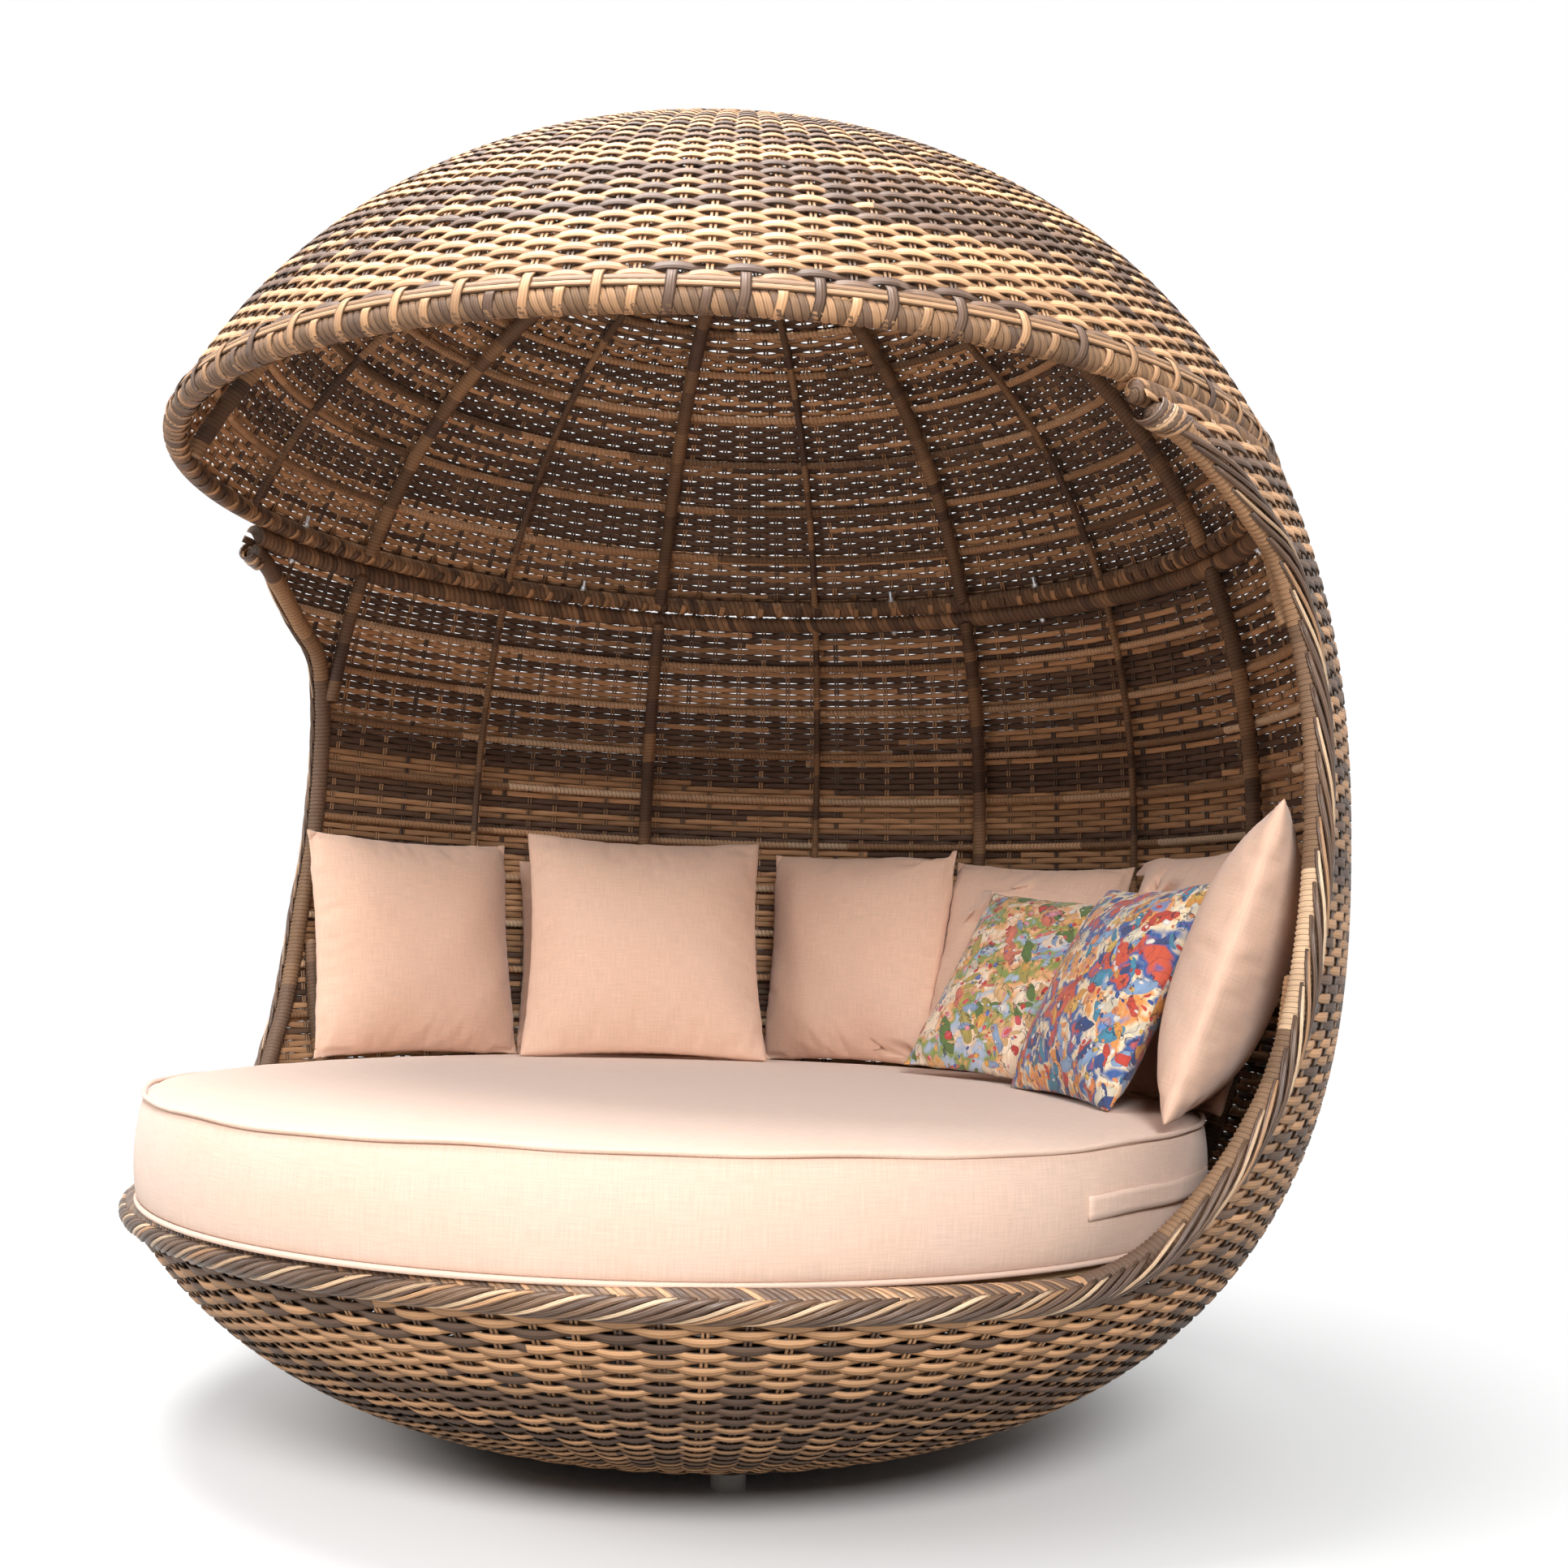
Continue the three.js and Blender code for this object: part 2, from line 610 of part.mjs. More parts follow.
// A sewn strap round the right side of the mattress, at half its height.
function handleSolid() {
  const inner = mattressHalfWidth + mattressBulge + clearance;
  const outer = inner + handleThickness;
  const low = (mattressThickness - handleWidth) / 2;
  const high = low + handleWidth;
  const corners = [
    [inner, low],
    [outer, low],
    [outer, high],
    [inner, high],
    [inner, low],
  ].map(([x, y]) => new THREE.Vector2(x, y));
  const band = new THREE.LatheGeometry(corners, mattressFacets);
  const wedge = new THREE.Shape([
    new THREE.Vector2(0, 0),
    ...[handleToShare, handleFromShare].map((share) => {
      const angle = fullTurn * share;
      return new THREE.Vector2(2 * outer * Math.sin(angle), 2 * outer * Math.cos(angle));
    }),
  ]);
  const prism = new THREE.ExtrudeGeometry(wedge, { depth: crownHeight, bevelEnabled: false });
  return soft(band).intersect(solidOf(prism));
}

// A pillow in its own frame, standing on its side along X with its front to -Y: two sheets that meet at a
// seam, crowned in the middle and drawn in between the corners. Growth is added on every side.
function pillowGeometry(pillow, growth) {
  const side = pillow.side + 2 * growth;
  const thickness = (pillow.print ? printedThickness : plainThickness) + 2 * growth;
  const sheets = [1, -1].map((face) => {
    const sheet = new THREE.PlaneGeometry(side, side, pillowGrid, pillowGrid);
    if (face < 0) sheet.rotateY(Math.PI);
    sheet.rotateX(quarterTurn);
    const places = sheet.getAttribute("position");
    const shares = sheet.getAttribute("uv");
    for (let index = 0; index < places.count; index += 1) {
      const across = 2 * shares.getX(index) - 1;
      const up = 2 * shares.getY(index) - 1;
      const swell = ((1 - across ** 2) * (1 - up ** 2)) ** crownShare;
      places.setXYZ(
        index,
        places.getX(index) * (1 - drawnInShare * (1 - up ** 2)),
        (-face * thickness * swell) / 2,
        places.getZ(index) * (1 - drawnInShare * (1 - across ** 2)),
      );
    }
    return sheet;
  });
  return mergeGeometries(sheets);
}

// The height of the mattress's top over a place.
function topAt(x, y) {
  const reach = Math.hypot(x / mattressHalfWidth, (y + mattressForward) / mattressHalfDepth);
  return mattressTop + mattressCrown * Math.max(1 - reach ** crownPower, 0);
}

// A pillow on the mattress, turned to its facing and leaning back. It comes down until its lowest corner has
// settled into the top.
function pillowSolid(pillow, growth = 0) {
  const geometry = pillowGeometry(pillow, growth);
  const [facing, lean, roll] = [pillow.facing, pillow.lean, pillow.roll].map(THREE.MathUtils.degToRad);
  const turns = new THREE.Euler(-lean, -roll, facing, "ZXY");
  geometry.translate(0, 0, pillow.side / 2);
  geometry.applyMatrix4(new THREE.Matrix4().makeRotationFromEuler(turns));
  geometry.translate(pillow.x, pillow.y, 0);
  const places = geometry.getAttribute("position");
  const rises = counted(places.count).map((index) => {
    const [x, y, z] = [places.getX(index), places.getY(index), places.getZ(index)];
    return topAt(x, y) - z;
  });
  geometry.translate(0, 0, Math.max(...rises) - pillowSettle - growth);
  return solidOf(geometry);
}

// The group, in the order in which the part is put together
const part = new THREE.Group();

function piece(name, geometry, finish) {
  const mesh = new THREE.Mesh(geometry, new THREE.MeshStandardMaterial(finish));
  mesh.name = name;
  return mesh;
}

const solidPiece = (name, solid, finish) => part.add(piece(name, geometryOf(solid), finish));

// Feet and base
const baseCentre = profilePoint(baseTurn, baseTubeRadius);
const glideHeight = profilePoint(baseTurn).y - clearance;
solidPiece("base_ring", baseRing, finishes.frameTube);
counted(glideCount).forEach((index) => {
  const glide = piece(`glide_${index + 1}`, bar(glideRadius, 0, glideHeight, glideSides), finishes.rubber);
  const angle = ((index + 1 / 2) * fullTurn) / glideCount;
  glide.position.copy(placeAt(angle, new THREE.Vector2(baseCentre.x, 0)));
  part.add(glide);
});

// Frame of the lower shell
const ribCutters = [baseCutter, jointCutter, rimCutter, seatCutter];
const strutEnd = lengthAt(sideHeight(strutBottomShare));
const sideRibEnd = lengthAt(sideHeight(sideRibTopShare));
const lowerRibs = [
  ...mainFullSteps.map((step) => ["back_rib", mainRib(step, baseLength, jointLength, lowerPitch)]),
  ...sideSteps.map((step) => ["side_strut", mainRib(step, strutEnd, jointLength, lowerPitch)]),
  ...sideSteps.map((step) => ["side_rib", mainRib(step, baseLength, sideRibEnd, lowerPitch)]),
  ...mainBowlSteps.map((step) => ["bowl_rib", mainRib(step, baseLength, rimEnd - rimRadius / 2, lowerPitch)]),
];
const ribTally = {};
lowerRibs.forEach(([family, rib]) => {
  ribTally[family] = (ribTally[family] ?? 0) + 1;
  solidPiece(`${family}_${ribTally[family]}`, cutFrom(rib, ...ribCutters), finishes.frameTube);
});
solidPiece("lower_lattice", lowerLattice, finishes.frameTube);
solidPiece("joint_ring", cutFrom(jointRing, opening, ...boltHoles), finishes.frameTube);
solidPiece("rim_tube", cutFrom(rimTube, jointCutter), finishes.frameTube);
solidPiece("lower_weave", lowerWeave, finishes.tanWicker);
const braidOut = rimRadius + bendGap + braidThickness / 2;
const braid = new Rim(braidTrimShare, braidAside, braidOut);
solidPiece("rim_braid", sweep(braid, flattened(braidThickness, braidWidth), braidSteps), finishes.darkWicker);

// Seat
solidPiece("seat_ring", seatRing, finishes.frameTube);
const seatBarDrop = seatTop - seatBarSize / 2;
const seatFlat = seatCentre.x * Math.cos(Math.PI / facets); // the ring's radius at the middle of its flats
[-1, 1].forEach((side, index) => {
  const offset = side * seatBarReachShare * seatCentre.x;
  const length = 2 * Math.sqrt(seatFlat ** 2 - offset ** 2);
  const beam = new THREE.BoxGeometry(length, seatBarSize, seatBarSize);
  beam.translate(0, offset, seatBarDrop);
  solidPiece(`seat_bar_${index + 1}`, cutFrom(solidOf(beam), seatCutter), finishes.frameTube);
});
const deck = piece("deck_panel", bar(seatCentre.x, 0, deckThickness, facets), finishes.board);
deck.position.z = seatTop + clearance;
part.add(deck);

// Canopy
solidPiece(
  "canopy_ring",
  cutFrom(lugs.reduce((ring, lug) => ring.add(lug), canopyRing), jointCutter, ...boltHoles),
  finishes.frameTube,
);
counted(ribCount / 2).forEach((index) => {
  const rib = mainRib(2 * index, canopyLength, profileLength, canopyPitch);
  solidPiece(`canopy_rib_${index + 1}`, cutFrom(rib, canopyCutter, hubSpace), finishes.frameTube);
});
solidPiece("canopy_lattice", canopyLattice, finishes.frameTube);
part.add(piece("crown_hub", hub, finishes.frameTube));
solidPiece("canopy_weave", canopyWeave, finishes.tanWicker);

// Bolts stand head down in the rings, with their nuts on the canopy's ring.
const threadEnd = ringReach + nutHeight + boltEnd;
const shank = solidOf(bar(boltRadius, -ringReach - boltHeadHeight / 2, threadEnd, boltSides));
const head = solidOf(bar(boltHeadWidth / 2, -ringReach - boltHeadHeight, -ringReach, hexSides));
const bolt = geometryOf(shank.add(head));
const nut = geometryOf(
  cutFrom(
    solidOf(bar(boltHeadWidth / 2, ringReach, ringReach + nutHeight, hexSides)),
    solidOf(bar(boltRadius + clearance, 0, 2 * (ringReach + nutHeight), boltSides)),
  ),
);
boltAngles.forEach((angle, index) => {
  const place = new THREE.Group();
  place.rotation.z = -angle;
  const tilted = new THREE.Group();
  tilted.position.set(0, seamMiddle.x, seamMiddle.y);
  tilted.rotation.x = seamTilt;
  tilted.add(piece(`joint_bolt_${index + 1}`, bolt, finishes.zinc));
  tilted.add(piece(`joint_nut_${index + 1}`, nut, finishes.zinc));
  place.add(tilted);
  part.add(place);
});

// Mattress and pillows. Each pillow gives way to the mattress and to those that lie in front of it.
solidPiece("mattress", mattressSolid(), finishes.linen);
solidPiece("mattress_handle", handleSolid(), finishes.linen);
const mattressCutter = mattressSolid(clearance);
pillows.forEach((pillow, index) => {
  const inFront = pillows.slice(index + 1).map((other) => pillowSolid(other, clearance));
  const finish = pillow.print ? finishes.print : finishes.linen;
  solidPiece(pillow.name, cutFrom(pillowSolid(pillow), mattressCutter, ...inFront), finish);
});

// The part stands on the middle of its own outline.
const box = new THREE.Box3().setFromObject(part);
part.position.y = -(box.min.y + box.max.y) / 2;

export default part;
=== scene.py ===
"""Looks of an outdoor daybed with a canopy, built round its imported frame.

Two woven shells on a wrapped tube frame, a braid along the open edge, a round mattress and nine pillows.
Metres, +Z up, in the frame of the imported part: the back is +Y and the open side faces -Y.
"""

import math
import random

import bmesh
import bpy
import numpy as np
from bpy.props import FloatProperty, FloatVectorProperty, IntProperty, PointerProperty
from mathutils import Matrix, Vector
from mathutils.bvhtree import BVHTree


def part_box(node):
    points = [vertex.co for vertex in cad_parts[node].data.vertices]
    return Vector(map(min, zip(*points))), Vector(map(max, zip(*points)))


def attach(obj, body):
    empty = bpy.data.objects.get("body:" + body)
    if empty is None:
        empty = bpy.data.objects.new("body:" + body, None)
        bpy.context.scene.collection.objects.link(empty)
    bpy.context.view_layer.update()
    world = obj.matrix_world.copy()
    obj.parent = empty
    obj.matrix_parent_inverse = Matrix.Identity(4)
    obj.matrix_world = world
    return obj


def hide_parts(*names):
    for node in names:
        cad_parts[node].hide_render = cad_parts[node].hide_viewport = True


bl_info = {
    "name": "Daybed with Canopy",
    "version": (1, 0, 0),
    "blender": (4, 5, 0),
    "location": "3D View > Sidebar > Daybed",
    "description": "Builds the woven shells, frame, mattress and pillows of a daybed",
    "category": "Add Mesh",
}

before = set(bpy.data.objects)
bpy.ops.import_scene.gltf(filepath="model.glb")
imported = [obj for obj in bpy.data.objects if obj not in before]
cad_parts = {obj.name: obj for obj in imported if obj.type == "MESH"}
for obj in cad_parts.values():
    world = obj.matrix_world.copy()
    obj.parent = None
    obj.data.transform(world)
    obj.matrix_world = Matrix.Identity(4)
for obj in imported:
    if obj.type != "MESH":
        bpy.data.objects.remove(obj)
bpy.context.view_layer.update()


def middle_of(node):
    """The middle of a CAD node's box."""
    low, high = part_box(node)
    return (low + high) / 2


# The shells' profile, as the part has it
AXIS_Y = middle_of("canopy_ring").y
WAIST_RADIUS = 1.0
WAIST_HEIGHT = 0.943
CROWN_HEIGHT = 2.046
CROWN_FULLNESS = 2.25
BOWL_FULLNESS = 2.58
BASE_RADIUS = 0.35
LIP_HEIGHT = 0.344
JOINT_HEIGHT = 1.475
CANOPY_HEIGHT = 1.509
RING_DEPTH = 0.017
RING_RADIUS = 0.015
RIM_RADIUS = 0.016
MAIN_RIB_RADIUS = 0.014
MAIN_RIB_DEPTH = 0.0333
SLIM_RIB_DEPTH = 0.023
SLIM_RIB_RADIUS = 0.0072
HOOP_DEPTH = 0.0145
HOOP_RADIUS = 0.0076
WEAVE_MIDDLE = 0.0042
LOWER_BAYS = 18
CANOPY_BAYS = 10
RIB_ANGLE = math.radians(22.5)
FULL_TURN = 2 * math.pi
# Degrees from the back, and the share of the way from the lip to the joint, along one side of the opening
RIM_SHARES = [
    (113, 0), (109.5, 0.008), (105.5, 0.027), (102.6, 0.058), (100, 0.095), (97.8, 0.132), (95.8, 0.176),
    (94, 0.222), (92, 0.31), (90.8, 0.4), (90, 0.465), (89.4, 0.545), (89.4, 0.66), (90.2, 0.755),
    (92.5, 0.845), (96.5, 0.89), (101, 0.935), (105, 0.965), (108.5, 0.979),
]
HORN_ANGLE = math.radians(110)
STRUT_SHARE = 0.77
STRUT_FOOT = 1.262
# Tones of the rim's wraps below each height, for the left and the right side. On the right, the wraps between
# 0.655 and 0.87 m are tan wraps painted paler (1.15), a painted highlight of the light that falls on them
# from the front.
RIM_BANDS = {
    -1: [(2.0, 0.05), (1.418, 0.8), (STRUT_FOOT, 0.18), (0.93, 0.6), (0.66, 0.15)],
    1: [(2.0, 0.05), (1.44, 0.82), (1.205, 0.35), (1.08, 0.5), (0.87, 1.15), (0.655, 0.4), (0.5, 0.6)],
}
SIDE_RIB_SHARE = 0.35


def profile(turn, depth=0.0):
    """Radius and height of the profile at a turn about the waist, moved in by a depth."""
    turn = np.asarray(turn, float)
    above = turn >= 0
    reach = np.where(above, CROWN_HEIGHT - WAIST_HEIGHT, WAIST_HEIGHT)
    fullness = np.where(above, CROWN_FULLNESS, BOWL_FULLNESS)
    cosine = np.maximum(np.cos(turn), 0)
    sine = np.abs(np.sin(turn))
    out = cosine ** (2 - 2 / fullness) / WAIST_RADIUS
    up = sine ** (2 - 2 / fullness) / reach
    slope = depth / np.maximum(np.hypot(out, up), 1e-9)
    rise = reach * sine ** (2 / fullness) - slope * up
    radius = WAIST_RADIUS * cosine ** (2 / fullness) - slope * out
    return np.maximum(radius, 0), WAIST_HEIGHT + np.where(above, rise, -rise)


# The profile from the bottom pole to the crown, with the waist in the middle
WAIST_INDEX = 3000
TURNS = np.linspace(-math.pi / 2, math.pi / 2, 2 * WAIST_INDEX + 1)
RADII, HEIGHTS = profile(TURNS)
LENGTHS = np.concatenate(([0], np.cumsum(np.hypot(np.diff(RADII), np.diff(HEIGHTS)))))


def length_at(height):
    """Length along the profile, from the bottom pole up to a height of the outer surface."""
    return float(np.interp(height, HEIGHTS, LENGTHS))


def surface(azimuth, length, depth=0.0):
    """Points of a shell at an angle from the back, a length along the profile and a depth."""
    radius, height = profile(np.interp(length, LENGTHS, TURNS), depth)
    return np.stack(
        np.broadcast_arrays(radius * np.sin(azimuth), radius * np.cos(azimuth) + AXIS_Y, height), -1
    )


def unit(vectors):
    return vectors / np.maximum(np.linalg.norm(vectors, axis=-1, keepdims=True), 1e-12)


BASE_LENGTH = float(np.interp(BASE_RADIUS, RADII[: WAIST_INDEX + 1], LENGTHS[: WAIST_INDEX + 1]))
JOINT_LENGTH = length_at(JOINT_HEIGHT)
CANOPY_LENGTH = length_at(CANOPY_HEIGHT)
CROWN_LENGTH = LENGTHS[-1]
LOWER_PITCH = (JOINT_LENGTH - BASE_LENGTH) / LOWER_BAYS
CANOPY_PITCH = (CROWN_LENGTH - CANOPY_LENGTH) / CANOPY_BAYS


class Line:
    """A line in space with a direction square to the shell at each point."""

    def __init__(self, points, normals, closed=False):
        self.points, self.closed = np.asarray(points), closed
        self.normals = unit(np.asarray(normals))
        steps = np.linalg.norm(np.diff(self.points, axis=0), axis=1)
        self.run = np.concatenate(([0], np.cumsum(steps)))
        self.length = float(self.run[-1])
        if closed:
            sides = np.roll(self.points[:-1], -1, axis=0) - np.roll(self.points[:-1], 1, axis=0)
            self.tangents = unit(np.concatenate((sides, sides[:1])))
        else:
            self.tangents = unit(np.gradient(self.points, axis=0))

    def at(self, run):
        """Centre, normal, side and tangent at lengths along the line."""
        run = np.mod(run, self.length) if self.closed else np.clip(run, 0, self.length)
        place, normal, tangent = (
            np.stack([np.interp(run, self.run, table[:, axis]) for axis in range(3)], -1)
            for table in (self.points, self.normals, self.tangents)
        )
        side = unit(np.cross(tangent, normal))
        return place, unit(np.cross(side, tangent)), side, tangent


def meridian(azimuth, depth, start, end, steps=160):
    """A line up the shell at an angle from the back."""
    lengths = np.linspace(start, end, steps)
    inner = surface(azimuth, lengths, depth)
    return Line(inner, surface(azimuth, lengths, depth - 0.01) - inner)


def hoop(length, depth, reach=None, steps=400):
    """A level line round the shell, closed, or out to an angle on both sides of the back."""
    azimuths = np.linspace(-(reach or math.pi), reach or math.pi, steps)
    inner = surface(azimuths, length, depth)
    return Line(inner, surface(azimuths, length, depth - 0.01) - inner, closed=reach is None)


def rim_line():
    """The centre of the rim tube, from the left horn along the lip to the right horn."""
    right = [
        (math.radians(degrees), LIP_HEIGHT + (JOINT_HEIGHT - LIP_HEIGHT) * share)
        for degrees, share in RIM_SHARES
    ]
    lip, angle = [], math.pi - RIB_ANGLE / 2
    while angle > right[0][0] + RIB_ANGLE / 4:
        lip.append((angle, LIP_HEIGHT))
        angle -= RIB_ANGLE / 2
    half = lip + right
    stops = [(FULL_TURN - a, h) for a, h in reversed(half)] + [(math.pi, LIP_HEIGHT)] + half
    places = np.array([surface(a, length_at(h), RIM_RADIUS) for a, h in stops])
    places = np.concatenate(([2 * places[0] - places[1]], places, [2 * places[-1] - places[-2]]))
    share = np.linspace(0, 1, 40, endpoint=False)[:, None]
    dots = []
    for before, first, last, after in zip(places, places[1:], places[2:], places[3:]):
        gaps = [np.linalg.norm(b - a) ** 0.5 for a, b in ((before, first), (first, last), (last, after))]
        enter = (first - before) / gaps[0] - (last - before) / (gaps[0] + gaps[1]) + (last - first) / gaps[1]
        leave = (last - first) / gaps[1] - (after - first) / (gaps[1] + gaps[2]) + (after - last) / gaps[2]
        enter, leave = enter * gaps[1], leave * gaps[1]
        dots.append(
            first
            + enter * share
            + (3 * (last - first) - 2 * enter - leave) * share**2
            + (2 * (first - last) + enter + leave) * share**3
        )
    dots = np.concatenate(dots + [places[-2:-1]])
    azimuth = np.arctan2(dots[:, 0], dots[:, 1] - AXIS_Y)
    lengths = np.interp(dots[:, 2], HEIGHTS, LENGTHS)
    normals = surface(azimuth, lengths) - surface(azimuth, lengths, 0.01)
    return Line(dots, normals)


RIM = rim_line()


def opening_reach(height):
    """How far from the back the lower shell reaches at a height, as an angle."""
    half = len(RIM.points) // 2
    azimuth = np.abs(np.arctan2(RIM.points[half:, 0], RIM.points[half:, 1] - AXIS_Y))
    heights = np.maximum.accumulate(RIM.points[half:, 2])
    if height < LIP_HEIGHT:
        return None
    if height > heights[-1]:
        return HORN_ANGLE
    return float(np.interp(height, heights, azimuth))


def weave_reach(height):
    """How far from the back the weave reaches at a height: under the rim tube, and not through it."""
    reach = opening_reach(height + (-0.006 if height > 1.35 else 0.010))
    return reach and reach - 0.008


# Meshes


def mesh_from(shape, name):
    """A mesh from a bmesh, which is used up."""
    mesh = bpy.data.meshes.new(name)
    shape.to_mesh(mesh)
    shape.free()
    return mesh


def places_of(mesh):
    places = np.empty(len(mesh.vertices) * 3, np.float32)
    mesh.vertices.foreach_get("co", places)
    return places.reshape(-1, 3)


def set_places(mesh, places):
    mesh.vertices.foreach_set("co", places.astype(np.float32).ravel())


def corners_of(mesh):
    """The number of the vertex at each corner of each face."""
    corners = np.empty(len(mesh.loops), int)
    mesh.loops.foreach_get("vertex_index", corners)
    return corners


def set_uv(mesh, name, uv):
    """Adds a UV map, from a place on it for each vertex."""
    layer = mesh.uv_layers.new(name=name)
    layer.data.foreach_set("uv", uv[corners_of(mesh)].astype(np.float32).ravel())


def strips(counts, across=1):
    """A mesh of flat grids, one for each count of steps, with each vertex's grid, step and place across."""
    shape = bmesh.new()
    for index, steps in enumerate(counts):
        bmesh.ops.create_grid(
            shape, x_segments=steps, y_segments=across, size=1, matrix=Matrix.Translation((0, 0, index))
        )
    mesh = mesh_from(shape, "strips")
    places = places_of(mesh)
    grid = np.rint(places[:, 2]).astype(int)
    step = np.rint((places[:, 0] + 1) / 2 * np.asarray(counts)[grid]).astype(int)
    return mesh, grid, step, (places[:, 1] + 1) / 2


def blank(grid):
    """Empty places, UVs, tones and shades for the vertices."""
    return np.zeros((len(grid), 3)), np.zeros((len(grid), 2)), np.zeros(len(grid)), np.zeros(len(grid))


def strand_uv(across, along):
    """UVs of a flat strand: across it from just above 0 to just below 1, and its length in metres."""
    return np.stack((across * 0.998 + 0.001, along), -1)


def turned(normal, side, angle):
    """Directions at an angle from a normal, towards a side."""
    return normal * np.cos(angle)[:, None] + side * np.sin(angle)[:, None]


def dress_mesh(mesh, places, uv, tone, shade):
    """Sets the places, the strand's UV map and, for each face, its tone and shade."""
    set_places(mesh, places)
    set_uv(mesh, "strand", uv)
    first = corners_of(mesh).reshape(-1, 4)[:, 0]
    for name, values in (("tone", tone), ("shade", shade)):
        attribute = mesh.attributes.new(name, "FLOAT", "FACE")
        attribute.data.foreach_set("value", values[first].astype(np.float32))


def close_mesh(mesh, fill=True, distance=1e-5):
    """Merges the vertices that meet, closes the open ends and turns the faces outwards."""
    shape = bmesh.new()
    shape.from_mesh(mesh)
    bmesh.ops.remove_doubles(shape, verts=shape.verts, dist=distance)
    bmesh.ops.dissolve_degenerate(shape, edges=shape.edges, dist=1e-6)
    if fill:
        bmesh.ops.holes_fill(shape, edges=[edge for edge in shape.edges if edge.is_boundary], sides=0)
        bmesh.ops.recalc_face_normals(shape, faces=shape.faces)
    for face in shape.faces:
        face.smooth = True
    shape.to_mesh(mesh)
    shape.free()


def piece(name, mesh, material, nodes):
    """Links a finished mesh as a piece that rides on the frame and stands for CAD nodes."""
    mesh.name = name
    made = bpy.data.objects.new(name, mesh)
    bpy.context.scene.collection.objects.link(made)
    mesh.materials.clear()
    mesh.materials.append(material)
    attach(made, "root")
    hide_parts(*nodes)
    return made


def thicken(made, thickness):
    """Gives flat strands their thickness, half on each side."""
    wall = made.modifiers.new("thickness", "SOLIDIFY")
    wall.thickness = thickness
    wall.offset = 0


def smoothed(made):
    """Divides the faces of a soft piece once more."""
    smooth = made.modifiers.new("smooth", "SUBSURF")
    smooth.levels = smooth.render_levels = 1


# Shaders


class Value:
    """A socket that Python maths can be written on."""

    def __init__(self, nodes, socket):
        self.nodes, self.socket = nodes, socket

    def maths(self, operation, *others):
        return self.nodes.maths(operation, self, *others)

    def __add__(self, other):
        return self.maths("ADD", other)

    def __sub__(self, other):
        return self.maths("SUBTRACT", other)

    def __mul__(self, other):
        return self.maths("MULTIPLY", other)

    def __pow__(self, other):
        return self.maths("POWER", other)

    def __lt__(self, other):
        return self.maths("LESS_THAN", other)

    def __abs__(self):
        return self.maths("ABSOLUTE")

    __radd__ = __add__
    __rmul__ = __mul__

    def ridges(self, count):
        """A number of round ridges in each unit."""
        return abs((self * (math.pi * count)).maths("SINE"))

    def smooth(self, low, high, to_low=0.0, to_high=1.0):
        """A smooth step from one level to another."""
        values = {"Value": self, "From Min": low, "From Max": high, "To Min": to_low, "To Max": to_high}
        return self.nodes.node("ShaderNodeMapRange", "Result", {"interpolation_type": "SMOOTHSTEP"}, values)

    def beside(self, name):
        """Another output of the same node."""
        return Value(self.nodes, self.socket.node.outputs[name])


class Nodes:
    """A node tree that is built from calls."""

    def __init__(self, tree):
        self.tree = tree

    def feed(self, socket, value):
        if isinstance(value, Value):
            self.tree.links.new(value.socket, socket)
        else:
            colour = hasattr(socket.default_value, "__len__") and len(socket.default_value) == 4
            socket.default_value = (*value, 1) if colour and len(value) == 3 else value

    def node(self, kind, result, settings=None, values=None):
        """Adds a node, sets it up and returns one of its outputs."""
        node = self.tree.nodes.new(kind)
        for key, value in (settings or {}).items():
            setattr(node, key, value)
        for key, value in (values or {}).items():
            self.feed(node.inputs[key], value)
        return Value(self, node.outputs[result])

    def maths(self, operation, *values):
        return self.node("ShaderNodeMath", 0, {"operation": operation}, dict(enumerate(values)))

    def vector(self, operation, *values):
        return self.node("ShaderNodeVectorMath", 0, {"operation": operation}, dict(enumerate(values)))

    def mix(self, factor, first, second, blend="MIX"):
        """A colour between two others."""
        settings = {"data_type": "RGBA", "blend_type": blend}
        return self.node("ShaderNodeMix", 2, settings, {0: factor, 6: first, 7: second})

    def ramp(self, stops, factor, kind="LINEAR"):
        """A colour from a row of positions and colours."""
        result = self.node("ShaderNodeValToRGB", "Color", values={"Fac": factor})
        ramp = result.socket.node.color_ramp
        ramp.interpolation = kind
        while len(ramp.elements) < len(stops):
            ramp.elements.new(0.5)
        for element, (position, colour) in zip(ramp.elements, stops):
            element.position = position
            element.color = (*colour, 1)
        return result

    def attribute(self, name):
        return self.node("ShaderNodeAttribute", "Fac", {"attribute_name": name})

    def object_place(self):
        return self.node("ShaderNodeTexCoord", "Object")

    def split(self, vector):
        x = self.node("ShaderNodeSeparateXYZ", "X", values={0: vector})
        return x, x.beside("Y"), x.beside("Z")

    def join(self, x, y, z=0.0):
        return self.node("ShaderNodeCombineXYZ", 0, values={0: x, 1: y, 2: z})

    def uv(self, name):
        """The two numbers of a UV map, and the map itself."""
        place = self.node("ShaderNodeUVMap", "UV", {"uv_map": name})
        return self.split(place)[:2] + (place,)

    def noise(self, place, scale, detail=2.0, rough=0.5, result="Fac"):
        values = {"Vector": place, "Scale": scale, "Detail": detail, "Roughness": rough}
        return self.node("ShaderNodeTexNoise", result, values=values)

    def rays(self):
        """Whether a ray comes from the camera, and whether it comes from the camera, gloss or glass."""
        camera = self.node("ShaderNodeLightPath", "Is Camera Ray")
        seen = camera.maths("MAXIMUM", camera.beside("Is Glossy Ray"))
        return camera, seen.maths("MAXIMUM", camera.beside("Is Transmission Ray"))


